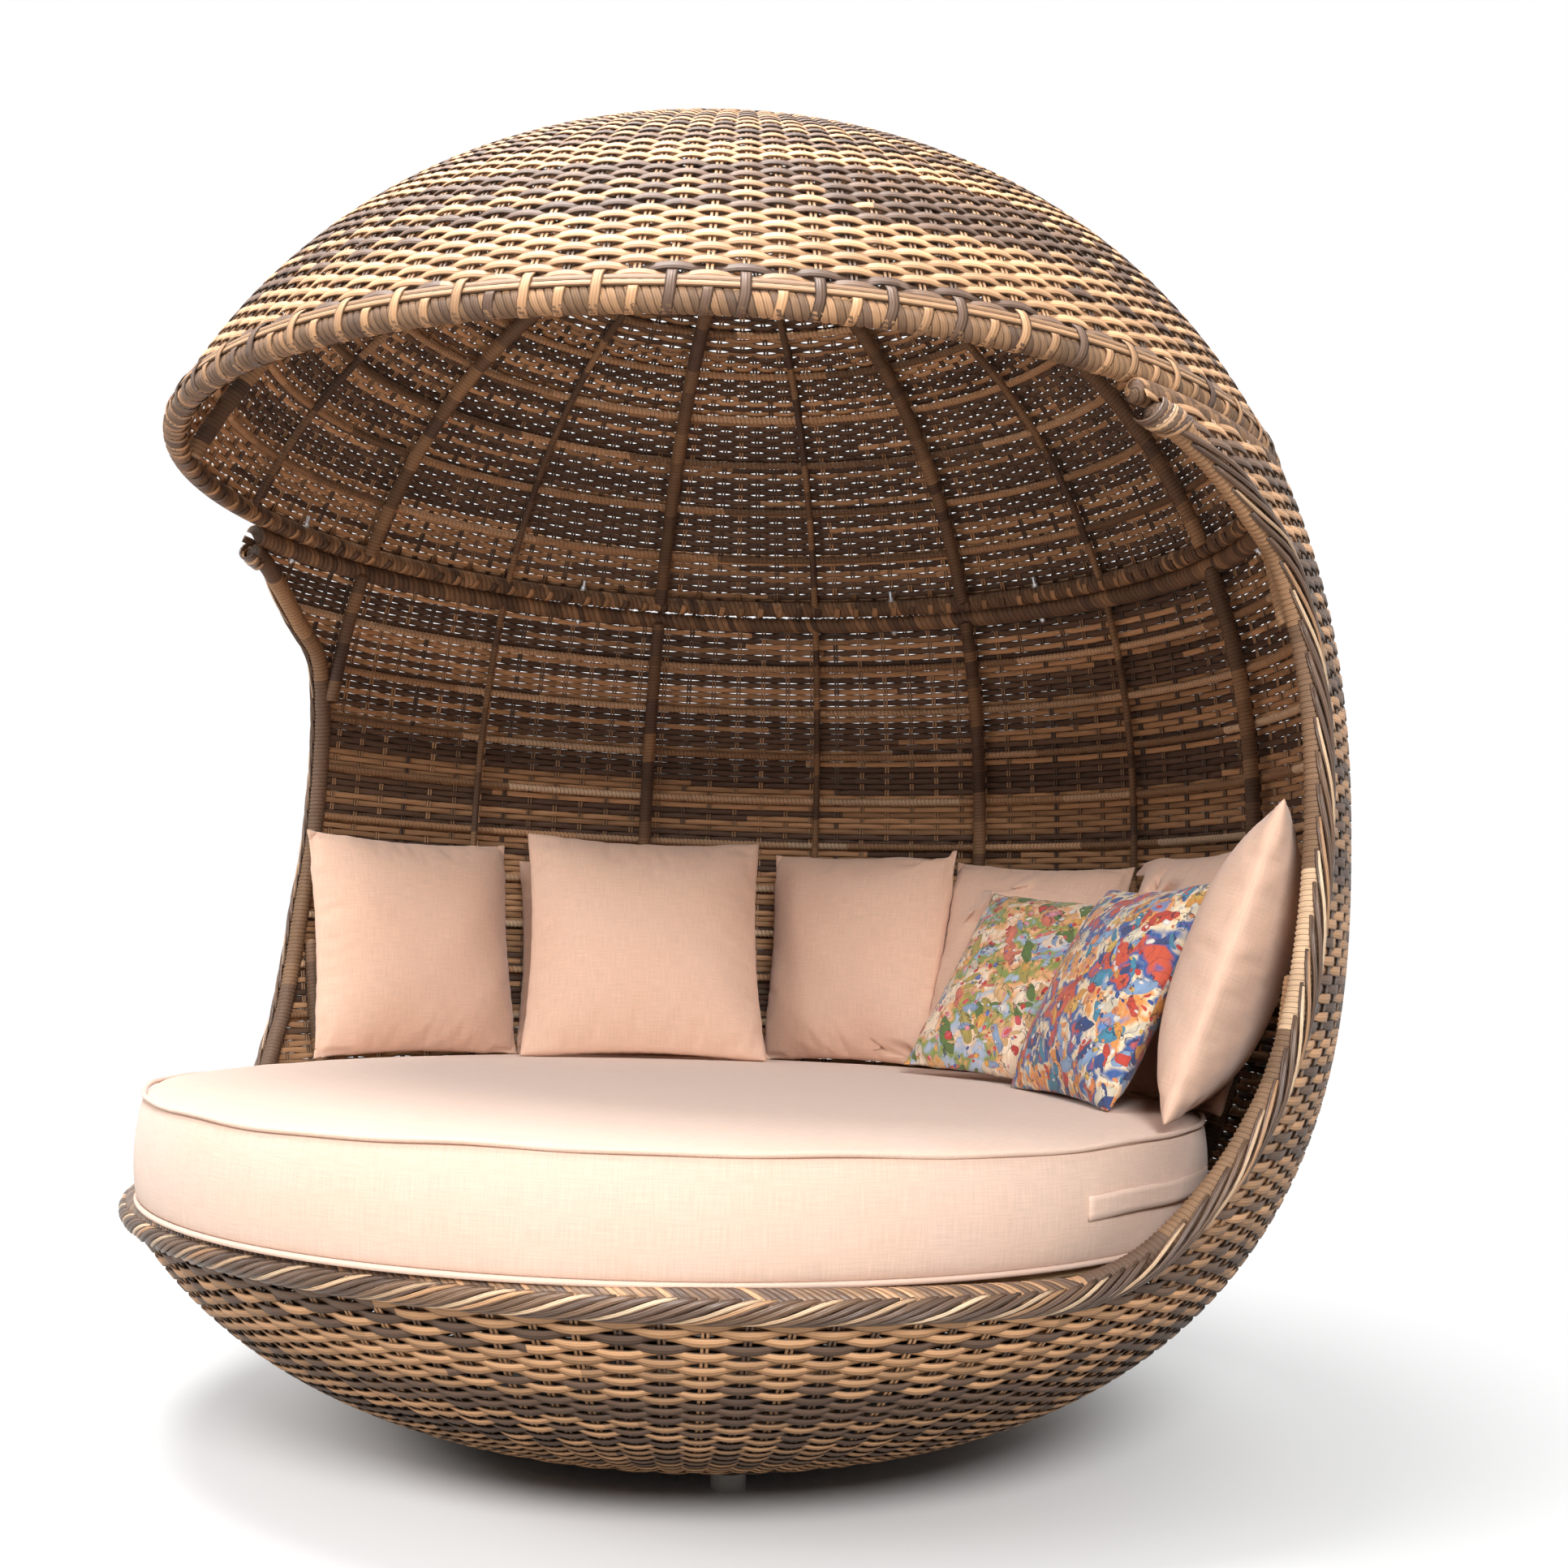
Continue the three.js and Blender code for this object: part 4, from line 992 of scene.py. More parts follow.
class DAYBED_OT_ribs(PieceOperator):
    """Wrap the ribs, struts and hoops of both shells"""

    bl_idname = "daybed.ribs"
    bl_label = "Ribs and Hoops"

    def build(self, sizes):
        shares = (STRUT_SHARE, SIDE_RIB_SHARE, 0)
        strut, foot, lip = (length_at(LIP_HEIGHT + (JOINT_HEIGHT - LIP_HEIGHT) * share) for share in shares)
        main = [(step, BASE_LENGTH, JOINT_LENGTH) for step in (-2, 0, 2)]
        main += [(step, strut, JOINT_LENGTH) for step in (-4, 4)]
        main += [(step, BASE_LENGTH, foot) for step in (-4, 4)]
        main += [(step, BASE_LENGTH, lip - 0.008) for step in (-6, 6, 8)]
        slim = [(step, BASE_LENGTH, JOINT_LENGTH) for step in (-3, -1, 1, 3)]
        slim += [(step, BASE_LENGTH, lip - 0.01) for step in (-7, -5, 5, 7)]
        dome_main = [(step, CANOPY_LENGTH, CROWN_LENGTH - 0.05) for step in range(0, 16, 2)]
        dome_slim = [(step, CANOPY_LENGTH, CROWN_LENGTH - 0.06) for step in range(1, 16, 2)]
        lower_nodes = numbered("back_rib", 3) + numbered("bowl_rib", 3) + numbered("side_strut", 2)
        lower_nodes += numbered("side_rib", 2)
        thick = (MAIN_RIB_DEPTH, MAIN_RIB_RADIUS, 12, 0.0013)
        thin = (SLIM_RIB_DEPTH, SLIM_RIB_RADIUS, 8, 0.0006)
        shades = (0.02, 0.25, 0.5, 0.75)
        rows = [
            ("lower_ribs", main, thick, lower_nodes),
            ("dome_ribs", dome_main, thick, numbered("canopy_rib", 8)),
            ("lower_slim_ribs", slim, thin, ["lower_lattice"]),
            ("dome_slim_ribs", dome_slim, thin, ["canopy_lattice"]),
        ]
        for index, (name, ribs, (depth, radius, sides, relief), nodes) in enumerate(rows):
            lines = [meridian(step * RIB_ANGLE, depth, start, end) for step, start, end in ribs]
            wound_tubes(name, lines, radius, sizes.wrap_pitch, 61 + index, shades, nodes, sides, relief)
        self.hoops()

    def hoops(self):
        """The level hoops behind the ribs."""
        lower = []
        for bay in range(1, LOWER_BAYS):
            length = BASE_LENGTH + bay * LOWER_PITCH
            reach = opening_reach(float(np.interp(length, LENGTHS, HEIGHTS)))
            lower.append(hoop(length, HOOP_DEPTH, reach and reach - 0.012))
        dome = [hoop(CANOPY_LENGTH + bay * CANOPY_PITCH, HOOP_DEPTH) for bay in range(1, CANOPY_BAYS)]
        pale, mixed = (0.75, 1.0, 1.1, 1.2), (0.5, 0.8, 0.95, 1.05)
        rows = [
            ("bowl_hoops", lower[:6], 0.012, 65, pale, ["lower_lattice"], 6, 0.0004, (3, 12)),
            ("back_hoops", lower[6:], 0.009, 66, pale, ["lower_lattice"], 8, 0.0013, (12, 60)),
            ("dome_hoops", dome, 0.009, 67, mixed, ["canopy_lattice"], 8, 0.0013, (12, 60)),
        ]
        for name, lines, *rest in rows:
            wound_tubes(name, lines, HOOP_RADIUS, *rest)


class DAYBED_OT_rings(PieceOperator):
    """Wrap the rim tube and the two rings of the joint"""

    bl_idname = "daybed.rings"
    bl_label = "Rim and Rings"

    def build(self, sizes):
        shades = (0.05, 0.25, 0.85, 0.95)
        wound_tubes(
            "rim_wrap", [RIM], RIM_RADIUS, 0.0076, 71, shades, ["rim_tube"], 14, 0.0015, (8, 34),
            tones=self.rim_tones,
        )
        rings = [
            ("joint_ring_wrap", JOINT_LENGTH, HORN_ANGLE, 1, 0.0125, 72, (0.1, 0.3, 0.45, 0.7), 0.0016),
            ("dome_ring_wrap", CANOPY_LENGTH, None, -1, 0.0105, 73, (0.15, 0.35, 0.5, 0.6, 0.8), 0.0014),
        ]
        for (name, length, reach, gap, pitch, seed, shades, relief), node in zip(rings, ("joint", "canopy")):
            line = hoop(length, RING_DEPTH, reach)
            wound_tubes(
                name, [line], RING_RADIUS, pitch, seed, shades, [f"{node}_ring"], 16, relief, (1, 2), steps=4,
                crest=self.swell(reach or math.pi, gap), starts=3,
            )
        collars = []
        for side in (-1, 1):
            here = (RIM.points[:, 0] * side > 0) & (np.abs(RIM.points[:, 2] - STRUT_FOOT) < 0.007)
            collars.append(Line(RIM.points[here], RIM.normals[here]))
        wound_tubes("rim_collars", collars, RIM_RADIUS + 0.0035, 0.006, 74, (0.8,), ["rim_tube"], 16, 0.0008)

    def rim_tones(self, places, tones):
        """The tones down both sides of the rim. Along the lip they stay in blocks."""
        for side, bands in RIM_BANDS.items():
            for top, tone in bands:
                here = (places[:, 0] * side > 0) & (places[:, 2] < top) & (places[:, 2] > LIP_HEIGHT + 0.06)
                tones = np.where(here, tone + 0.1 * (tones - 0.5), tones)
        return tones

    def swell(self, reach, gap_side):
        """How far the wraps stand out round a ring. Daylight shows between the rings where they stay low."""

        def crest(share, angle):
            azimuth = (2 * share - 1) * reach
            facing = np.clip(gap_side * np.sin(angle), 0, 1)
            open_part = np.exp(-(((azimuth + 0.62) / 0.42) ** 4))
            beads = 0.0014 + 0.0007 * np.sin(azimuth * 151) + 0.0004 * np.sin(azimuth * 233 + 1)
            return 0.0010 + facing * (0.0030 - (0.0030 - beads) * open_part)

        return crest


# From one braid strand to the next, and from one strand over the rim to the next
BRAID_PITCH = 0.0225
OVER_PITCH = 0.0098


class DAYBED_OT_braid(PieceOperator):
    """Braid the border along the outside of the rim"""

    bl_idname = "daybed.braid"
    bl_label = "Rim Braid"

    def build(self, sizes):
        dice = random.Random(81)
        start, end = 0.1, RIM.length - 0.1
        strands = []
        low, high = self.lip_part()
        for index in range(int((end - start) / BRAID_PITCH)):
            place = start + index * BRAID_PITCH
            level = low - 0.05 < place < high + 0.05
            if index % 2 and not level:
                continue
            longer = 1.0 if level else 1.75
            kind = (index if level else index // 2) % 4
            cream = kind == 0 or (kind == 1 and dice.random() < 0.4)
            if kind == 0:
                tone = dice.uniform(1.1, 1.25)
            else:
                tone = 0.9 if cream else dice.choice((0.0, 0.05, 0.1, 0.3))
            width = 0.0025 if cream else dice.uniform(0.0032, 0.0037)
            strands.append((place + dice.uniform(-0.003, 0.003), 0.125 * longer, 0, width, tone))
            tone = dice.choice((0.0, 0.03, 0.08, 0.2))
            strands.append((place + BRAID_PITCH / 2, 0.115 * longer, 1, 0.0034, tone))
        count = int((high - low) / OVER_PITCH)
        for index in range(count):
            warm = dice.random() < 0.15 + 0.45 * index / count
            tone = dice.choice((0.5, 0.7, 0.9)) if warm else dice.choice((0.0, 0.05, 0.15, 0.35))
            strands.append((low + index * OVER_PITCH, 0.05, 2, dice.uniform(0.0034, 0.0042), tone))
        for number, tone in enumerate((0.05, 0.9, 0.12, 1.1, 0.3, 0.95, 0.05, 0.8)):
            place = 0.002 + number * 0.0062
            reach, width = dice.uniform(0.02, 0.06), dice.uniform(0.0036, 0.0052)
            strands.append((place, reach, 3, width, tone))
            strands.append((RIM.length - place, -reach, 3, width, tone))
        self.lay(strands, dice)

    def lip_part(self):
        """Where along the rim the level lip starts and ends."""
        level = np.flatnonzero(RIM.points[:, 2] < LIP_HEIGHT + 0.012)
        return RIM.run[level[0]], RIM.run[level[-1]]

    def lay(self, strands, dice, steps=10, sides=6):
        """Strands as soft flat cords. Kinds 0 and 1 run along the band, 2 over the rim, 3 round its ends."""
        mesh, grid, step, across = strips([steps] * len(strands), sides)
        first, reach, kind, width, tone = np.array(strands)[grid].T
        share = step / steps
        eased = share * share * (3 - 2 * share)
        over_tube = kind >= 2
        run = first + reach * (share - 0.5)
        past = run - np.clip(run, 0, RIM.length)
        centre, normal, side, tangent = RIM.at(np.clip(run, 0, RIM.length))
        angle = np.radians(np.where(kind == 3, -150 + 215 * share, -125 + 120 * share))
        loose = 0.003 + (0.004 + 1.4 * (width - 0.0036)) * np.sin(math.pi * share)
        bend = RIM_RADIUS + np.where(kind == 3, loose, 0.0018)
        slant = 0.014 - 0.033 * eased
        rise = RIM_RADIUS + 0.0025 + 0.005 * np.sin(math.pi * share) - 0.0024 * kind
        lean = np.minimum(slant, 0) / rise
        sink = 0.004 * np.clip(slant / 0.014, 0, 1) ** 2
        aside = np.where(over_tube, bend * np.sin(angle), np.maximum(slant, 0) + rise * np.sin(lean))
        lift = np.where(over_tube, bend * np.cos(angle), rise * np.cos(lean) - sink)
        centre = centre + tangent * past[:, None] + side * aside[:, None] + normal * lift[:, None]
        order = np.lexsort((across, step, grid))
        shape = centre[order].reshape(len(strands), steps + 1, sides + 1, 3)
        direction = np.empty_like(centre)
        direction[order] = np.gradient(shape, axis=1).reshape(-1, 3)
        direction = unit(direction)
        flank = unit(np.cross(direction, turned(normal, side, np.where(over_tube, angle, lean))))
        outward = unit(np.cross(flank, direction))
        size = width * np.sqrt(np.clip(4 * share * (1 - share) + 0.35, 0, 1))
        turn = across * FULL_TURN
        wide = (np.cos(turn) * np.where(over_tube, 1.35, 1.15))[:, None]
        thick = (np.sin(turn) * np.where(over_tube, 0.45, 0.8))[:, None]
        places = centre + size[:, None] * (flank * wide + outward * thick)
        shade = np.array([dice.random() for _ in strands])[grid]
        dress_mesh(mesh, places, np.stack((across * 3, share * reach), -1), tone, shade)
        close_mesh(mesh)
        piece("rim_braid_strands", mesh, material("cord"), ["rim_braid"])


class DAYBED_OT_bolts(PieceOperator):
    """Bolt the dome to the lower shell"""

    bl_idname = "daybed.bolts"
    bl_label = "Joint Bolts"

    def build(self, sizes):
        for index, share in enumerate((-4.5, -2.5, -0.5, 0.5, 2.5, 4.5)):
            low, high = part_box(f"joint_bolt_{index + 1}")
            azimuth = share * RIB_ANGLE
            centres = [surface(azimuth, length, RING_DEPTH) for length in (JOINT_LENGTH, CANOPY_LENGTH)]
            axis = Vector(centres[1] - centres[0]).normalized()
            middle = Vector((centres[0] + centres[1]) / 2)
            half = (centres[1] - centres[0]) @ np.array(axis) / 2 + RING_RADIUS
            turn = axis.to_track_quat("Z", "Y").to_matrix().to_4x4()
            shape = bmesh.new()
            # Sides, radius, depth and height of the head, a washer, the shank, a washer and the nut
            rows = [
                (6, 0.0066, 0.0052, -half - 0.0035), (24, 0.0088, 0.0014, -half - 0.0002),
                (16, 0.004, 2 * half + 0.03, 0.006), (24, 0.0088, 0.0014, half + 0.0002),
                (6, 0.0066, 0.0062, half + 0.0043),
            ]
            for sides, radius, depth, height in rows:
                made = bmesh.ops.create_cone(
                    shape, cap_ends=True, segments=sides, radius1=radius, radius2=radius, depth=depth,
                    matrix=Matrix.Translation((0, 0, height)),
                )
                edges = dict.fromkeys(edge for vertex in made["verts"] for edge in vertex.link_edges)
                rims = [edge for edge in edges if edge.calc_face_angle(0) > 1]
                bmesh.ops.bevel(
                    shape, geom=rims, offset=0.0004, segments=2, profile=0.5, affect="EDGES", material=-1
                )
            bmesh.ops.transform(shape, matrix=Matrix.Translation(middle) @ turn, verts=shape.verts)
            for face in shape.faces:
                face.smooth = True
            nodes = [f"joint_bolt_{index + 1}", f"joint_nut_{index + 1}"]
            piece(f"bolt_{index + 1}", mesh_from(shape, "bolt"), material("zinc"), nodes)


# Soft pieces


def simulate(mesh, pressure, frames, stiffness, bending, pinned, cap=None, spare=0.0):
    """Fills a closed cloth, with some spare cloth, for a number of frames. Each point moves within a cap."""
    before = places_of(mesh).astype(float)
    work = bpy.data.objects.new("work", mesh)
    bpy.context.scene.collection.objects.link(work)
    cloth = work.modifiers.new("filling", "CLOTH")
    settings = {
        "quality": 6, "mass": 0.25, "air_damping": 3, "shrink_min": -spare, "bending_stiffness": bending,
        "tension_stiffness": stiffness, "compression_stiffness": stiffness, "shear_stiffness": stiffness / 2,
        "use_pressure": True, "uniform_pressure_force": pressure,
    }
    for key, value in settings.items():
        setattr(cloth.settings, key, value)
    cloth.settings.effector_weights.gravity = 0
    cloth.collision_settings.use_collision = False
    cloth.point_cache.frame_start = 1
    cloth.point_cache.frame_end = frames
    group = work.vertex_groups.new(name="pin")
    for weight in sorted(set(pinned)):
        group.add([index for index, value in enumerate(pinned) if value == weight], weight, "REPLACE")
    cloth.settings.vertex_group_mass = "pin"
    for number in range(1, frames + 1):
        bpy.context.scene.frame_set(number)
    shaped = work.evaluated_get(bpy.context.evaluated_depsgraph_get())
    after = places_of(shaped.to_mesh()).astype(float)
    shaped.to_mesh_clear()
    bpy.data.objects.remove(work)
    bpy.context.scene.frame_set(1)
    if cap:
        move = after - before
        size = np.linalg.norm(move, axis=1, keepdims=True)
        after = before + move * np.minimum(1, cap / np.maximum(size, 1e-9))
    set_places(mesh, after)
    mesh.update()


PILLOW_STEPS = 44
# How far a pillow's middle swells before it is filled, as a share of its side, and how far its seams draw in
PILLOW_SWELL = 0.14
SEAM_DRAW = 0.055


def pillow_form(seed):
    """A filled pillow that faces -Y, with its middle at the origin and a side of about one metre."""
    shape = bmesh.new()
    for quarter in (1, -1):
        bmesh.ops.create_grid(
            shape, x_segments=PILLOW_STEPS, y_segments=PILLOW_STEPS, size=0.5,
            matrix=Matrix.Rotation(math.pi / 2 * quarter, 4, "X"),
        )
    mesh = mesh_from(shape, "pillow")
    places = places_of(mesh)
    sign = np.repeat([-1.0, 1.0], (PILLOW_STEPS + 1) ** 2)
    across, up = places[:, 0] * 2, places[:, 2] * 2
    set_uv(mesh, "cloth", np.stack((across / 2 * sign, up / 2), -1) + np.where(sign > 0, 2.0, 0.0)[:, None])
    swell = np.clip((1 - across**2) * (1 - up**2), 0, 1) ** 0.45
    draw = np.random.default_rng(seed).uniform
    ripples = sum(
        draw(0.2, 1) * np.sin(draw(3, 11) * across + draw(3, 11) * up + draw(0, 6)) for _ in range(6)
    )
    depth = sign * swell * (PILLOW_SWELL + 0.005 * ripples)
    wide, high = (flat / 2 * (1 - SEAM_DRAW * (1 - other**2)) for flat, other in ((across, up), (up, across)))
    set_places(mesh, np.stack((wide, depth, high), -1))
    close_mesh(mesh, distance=1e-4)
    seam = [float(abs(vertex.co.y) < 1e-5) for vertex in mesh.vertices]
    pressure = bpy.context.scene.daybed_sizes.pressure
    simulate(mesh, pressure, 22, stiffness=12.0, bending=0.1, pinned=seam, spare=0.035)
    return mesh


def placed_pillow(form, side, thickness, mirrored):
    """A copy of a form at its real size, standing on its bottom seam."""
    mesh = form.copy()
    places = places_of(mesh).astype(float)
    low, high = places.min(0), places.max(0)
    places = (places - (low + high) / 2) / (high - low) * np.array([side, thickness, side])
    if mirrored:
        places[:, 0] *= -1
        mesh.flip_normals()
    places[:, 2] += side / 2
    set_places(mesh, places)
    uv = mesh.uv_layers["cloth"].data
    table = np.empty(len(uv) * 2, np.float32)
    uv.foreach_get("uv", table)
    uv.foreach_set("uv", table * side)
    return mesh


# Name, side, place of the bottom seam's middle, then the degrees of facing, leaning back and rolling
PILLOWS = [
    ("pillow_2", 0.43, -0.59, 0.505, 48, 14, 0),
    ("pillow_1", 0.448, -0.761, 0.113, 74, 12, 0),
    ("pillow_3", 0.484, -0.38, 0.329, 44, 23, 0),
    ("pillow_4", 0.45, -0.165, 0.736, 0, 5, 1),
    ("pillow_6", 0.44, 0.603, 0.47, -46, 9, 0),
    ("pillow_5", 0.43, 0.201, 0.692, -10, 13, -2),
    ("pillow_7", 0.477, 0.738, 0.168, -75, 19, 2),
    ("printed_pillow_1", 0.397, 0.306, 0.4, -12, 34, -4),
    ("printed_pillow_2", 0.39, 0.524, 0.21, -43, 27, 0),
]
MATTRESS_BOTTOM = 0.369
MATTRESS_THICKNESS = 0.15
MATTRESS_HALF = Vector((0.795, 0.848))
MATTRESS_MIDDLE = Vector((0, AXIS_Y - 0.032))
MATTRESS_EDGE = 0.008
MATTRESS_BULGE = 0.007
MATTRESS_CROWN = 0.014
MATTRESS_STEPS = 144
PIPING_RADIUS = 0.0038
PIPING_STEPS = 360
STRAP_WIDTH = 0.03
STRAP_THICKNESS = 0.0024
# Degrees from the back at which the strap is sewn down
STRAP_ENDS = (74.5, 105)
# How far a pillow sinks into the mattress, and how far its lowest points stay off it
PILLOW_SINK = 0.006
PILLOW_GAP = 0.001


def tree_of(mesh):
    shape = bmesh.new()
    shape.from_mesh(mesh)
    tree = BVHTree.FromBMesh(shape)
    shape.free()
    return tree


def height_under(tree, place):
    """The height of a surface above or below a place, or None beside it."""
    hit = tree.ray_cast(Vector((place.x, place.y, 2)), Vector((0, 0, -1)))[0]
    return None if hit is None else hit.z


def push_out(mesh, trees, gap=0.0015, reach=0.13):
    """Moves what lies inside a neighbour to just off its surface."""
    for tree in trees:
        for vertex in mesh.vertices:
            place, normal, _, distance = tree.find_nearest(vertex.co, reach)
            if place is not None and (vertex.co - place).dot(normal) < -0.7 * distance:
                vertex.co = place + normal * gap


def mattress_dip(turn):
    """How far the mattress's top edge rises and falls round it."""
    return 0.0022 * np.sin(turn * 5 + 1) + 0.0014 * np.sin(turn * 11 + 2) + 0.0008 * np.sin(turn * 23)


class DAYBED_OT_mattress(PieceOperator):
    """Make the round mattress with its piping and strap"""

    bl_idname = "daybed.mattress"
    bl_label = "Mattress"

    def outline(self):
        """Radius and height of half the section, from the middle of the bottom to the middle of the top."""
        radius, top = MATTRESS_HALF.x, MATTRESS_THICKNESS
        points = [(radius * share, 0.0) for share in (0.0, 0.25, 0.5, 0.7, 0.85, 0.94)]
        points += [(radius - MATTRESS_EDGE, 0.001), (radius, MATTRESS_EDGE)]
        for step in range(1, 8):
            points.append((radius + MATTRESS_BULGE * math.sin(math.pi * step / 8) * 0.9, top * step / 8))
        points += [(radius, top - MATTRESS_EDGE), (radius - MATTRESS_EDGE, top)]
        for share in (0.975, 0.95, 0.92, 0.88, 0.84, 0.78, 0.7, 0.6, 0.5, 0.38, 0.25, 0.12, 0.0):
            points.append((radius * share, top + MATTRESS_CROWN * (1 - share**4)))
        return points

    def form(self):
        """The outline turned round, its cloth flat on the top and the bottom and wound round the side."""
        outline = np.array(self.outline())
        mesh, _, step, across = strips([MATTRESS_STEPS], len(outline) - 1)
        ring = np.rint(across * (len(outline) - 1)).astype(int)
        radius, height = outline[ring].T
        turn = (step / MATTRESS_STEPS - 0.5) * FULL_TURN
        places = np.column_stack((radius * np.sin(turn), radius * np.cos(turn), height))
        set_places(mesh, places)
        out, up = np.abs(np.diff(outline, axis=0)).T
        corners = corners_of(mesh)
        lying = (out > 0.6 * np.hypot(out, up))[ring[corners].reshape(-1, 4).min(axis=1)].repeat(4)
        side = np.column_stack((turn * MATTRESS_HALF.x, height + 3))
        uv = np.where(lying[:, None], places[corners, :2], side[corners])
        mesh.uv_layers.new(name="cloth").data.foreach_set("uv", uv.astype(np.float32).ravel())
        close_mesh(mesh)
        return mesh

    def build(self, sizes):
        mesh = self.form()
        places = places_of(mesh).astype(float)
        places[:, 1] *= MATTRESS_HALF.y / MATTRESS_HALF.x
        places += (*MATTRESS_MIDDLE, MATTRESS_BOTTOM)
        aside = places[:, 0] / MATTRESS_HALF.x
        radius = np.hypot(aside, (places[:, 1] - MATTRESS_MIDDLE.y) / MATTRESS_HALF.y)
        turn = np.arctan2(places[:, 0], places[:, 1])
        height = (places[:, 2] - MATTRESS_BOTTOM) / MATTRESS_THICKNESS
        rim, level = np.clip((radius - 0.93) / 0.07, 0, 1), np.clip(height, 0, 1)
        places[:, 2] += mattress_dip(turn) * rim * level
        # Fine folds beside the strap
        tight = np.exp(-(((turn - 1.95) / 0.28) ** 2)) * (radius > 0.99) * np.sin(math.pi * level)
        fold = (0.0024 * np.sin(turn * 57) * tight)[:, None]
        places[:, :2] += fold * np.stack((np.sin(turn), np.cos(turn)), -1)
        set_places(mesh, places)
        seam = (np.abs(radius - 1) < 0.012) & ((np.abs(height - 1) < 0.07) | (height < 0.07))
        pinned = np.where(seam | (height < 0.01), 1.0, 0.25)
        simulate(mesh, 2.5, 16, stiffness=20, bending=0.3, pinned=list(pinned), cap=0.006)
        made = piece("mattress_body", mesh, material("mattress_linen"), ["mattress"])
        smoothed(made)
        self.piping()
        self.strap()

    def edge_line(self, height, inset):
        """A line round the mattress's edge. It dips with the top, but not at the bottom."""
        turn = np.linspace(0, FULL_TURN, PIPING_STEPS + 1)
        rise = MATTRESS_BOTTOM + height + mattress_dip(turn) * (height > 0.05)
        out = np.stack((np.sin(turn), np.cos(turn)), -1)
        points = np.column_stack((out * (np.array(MATTRESS_HALF) - inset) + np.array(MATTRESS_MIDDLE), rise))
        return Line(points, np.column_stack((out, np.zeros_like(turn))), closed=True)

    def piping(self):
        lines = [self.edge_line(0.003, 0.001), self.edge_line(MATTRESS_THICKNESS - 0.002, 0.001)]
        mesh, grid, step, across = strips([PIPING_STEPS] * len(lines), 8)
        places, uv, _, _ = blank(grid)
        for index, line in enumerate(lines):
            mine = grid == index
            centre, normal, side, _ = line.at((step[mine] % PIPING_STEPS) / PIPING_STEPS * line.length)
            places[mine] = centre + PIPING_RADIUS * turned(normal, side, across[mine] * FULL_TURN)
            uv[mine] = np.stack((step[mine] / PIPING_STEPS * line.length, across[mine] * 0.024), -1)
        set_places(mesh, places)
        set_uv(mesh, "cloth", uv)
        close_mesh(mesh)
        piece("mattress_piping", mesh, material("mattress_linen"), ["mattress"])

    def strap(self):
        """The strap handle on the right side, sewn down at both ends."""
        line = self.edge_line(MATTRESS_THICKNESS * 0.5, -0.0085)
        start, end = (math.radians(degrees) / FULL_TURN * line.length for degrees in STRAP_ENDS)
        mesh, _, step, across = strips([40], 4)
        share = step / 40
        run = start + (end - start) * share
        centre, normal, _, _ = line.at(run)
        lift = 0.0025 * np.sin(math.pi * share) ** 0.5
        rise = np.array([0, 0, 1.0]) * ((across - 0.5) * STRAP_WIDTH)[:, None]
        set_places(mesh, centre + normal * lift[:, None] + rise)
        set_uv(mesh, "cloth", np.stack((run, across * STRAP_WIDTH), -1))
        close_mesh(mesh, fill=False)
        made = piece("mattress_strap", mesh, material("mattress_linen"), ["mattress_handle"])
        thicken(made, STRAP_THICKNESS)


class DAYBED_OT_pillows(PieceOperator):
    """Fill the nine pillows and set them on the mattress"""

    bl_idname = "daybed.pillows"
    bl_label = "Pillows"

    def build(self, sizes):
        forms = [pillow_form(seed) for seed in (3, 8)]
        floor = tree_of(bpy.data.objects["mattress_body"].data)
        placed = []
        for index, (name, side, x, y, facing, lean, roll) in enumerate(PILLOWS):
            printed = name.startswith("printed")
            mesh = placed_pillow(forms[index % 2], side, 0.13 if printed else 0.15, index % 3 == 1)
            turn = (
                Matrix.Rotation(math.radians(facing), 4, "Z")
                @ Matrix.Rotation(math.radians(-lean), 4, "X")
                @ Matrix.Rotation(math.radians(-roll), 4, "Y")
            )
            mesh.transform(Matrix.Translation((x, y + AXIS_Y, 0)) @ turn)
            tops = [(height_under(floor, vertex.co), vertex.co.z) for vertex in mesh.vertices]
            rise = max(top - low for top, low in tops if top is not None)
            mesh.transform(Matrix.Translation((0, 0, rise - PILLOW_SINK)))
            placed.append((name, mesh, printed))
        trees = [tree_of(mesh) for _, mesh, _ in placed]
        for index, (name, mesh, printed) in enumerate(placed):
            push_out(mesh, trees[index + 1 :])
            for vertex in mesh.vertices:
                top = height_under(floor, vertex.co)
                if top is not None and vertex.co.z < top + PILLOW_GAP:
                    vertex.co.z = top + PILLOW_GAP
            cover = material(f"print_{name[-1]}" if printed else "linen")
            made = piece(f"{name}_cover", mesh, cover, [name])
            smoothed(made)


class DAYBED_OT_base(PieceOperator):
    """Finish the steel base, the seat board and the glides"""

    bl_idname = "daybed.base"
    bl_label = "Base and Seat"

    def build(self, sizes):
        finishes = dict.fromkeys(("base_ring", "seat_ring", "seat_bar_1", "seat_bar_2", "crown_hub"), "steel")
        finishes |= {"deck_panel": "plywood"} | dict.fromkeys(numbered("glide", 4), "rubber")
        for node, finish in finishes.items():
            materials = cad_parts[node].data.materials
            materials.clear()
            materials.append(material(finish))


# Name, place, target, size and power of the lamps
LAMPS = [
    ("key", (-0.8, -4.9, 3.3), (0.0, 0.0, 0.6), 1.9, 92),
    ("left", (-4.2, -2.6, 2.4), (0.3, 0.0, 0.7), 1.6, 43),
    ("right", (3.4, -3.9, 3.0), (0.0, 0.0, 0.5), 1.6, 258),
    ("top", (-0.4, -1.2, 5.4), (0.0, 0.0, 1.2), 3.2, 450),
]
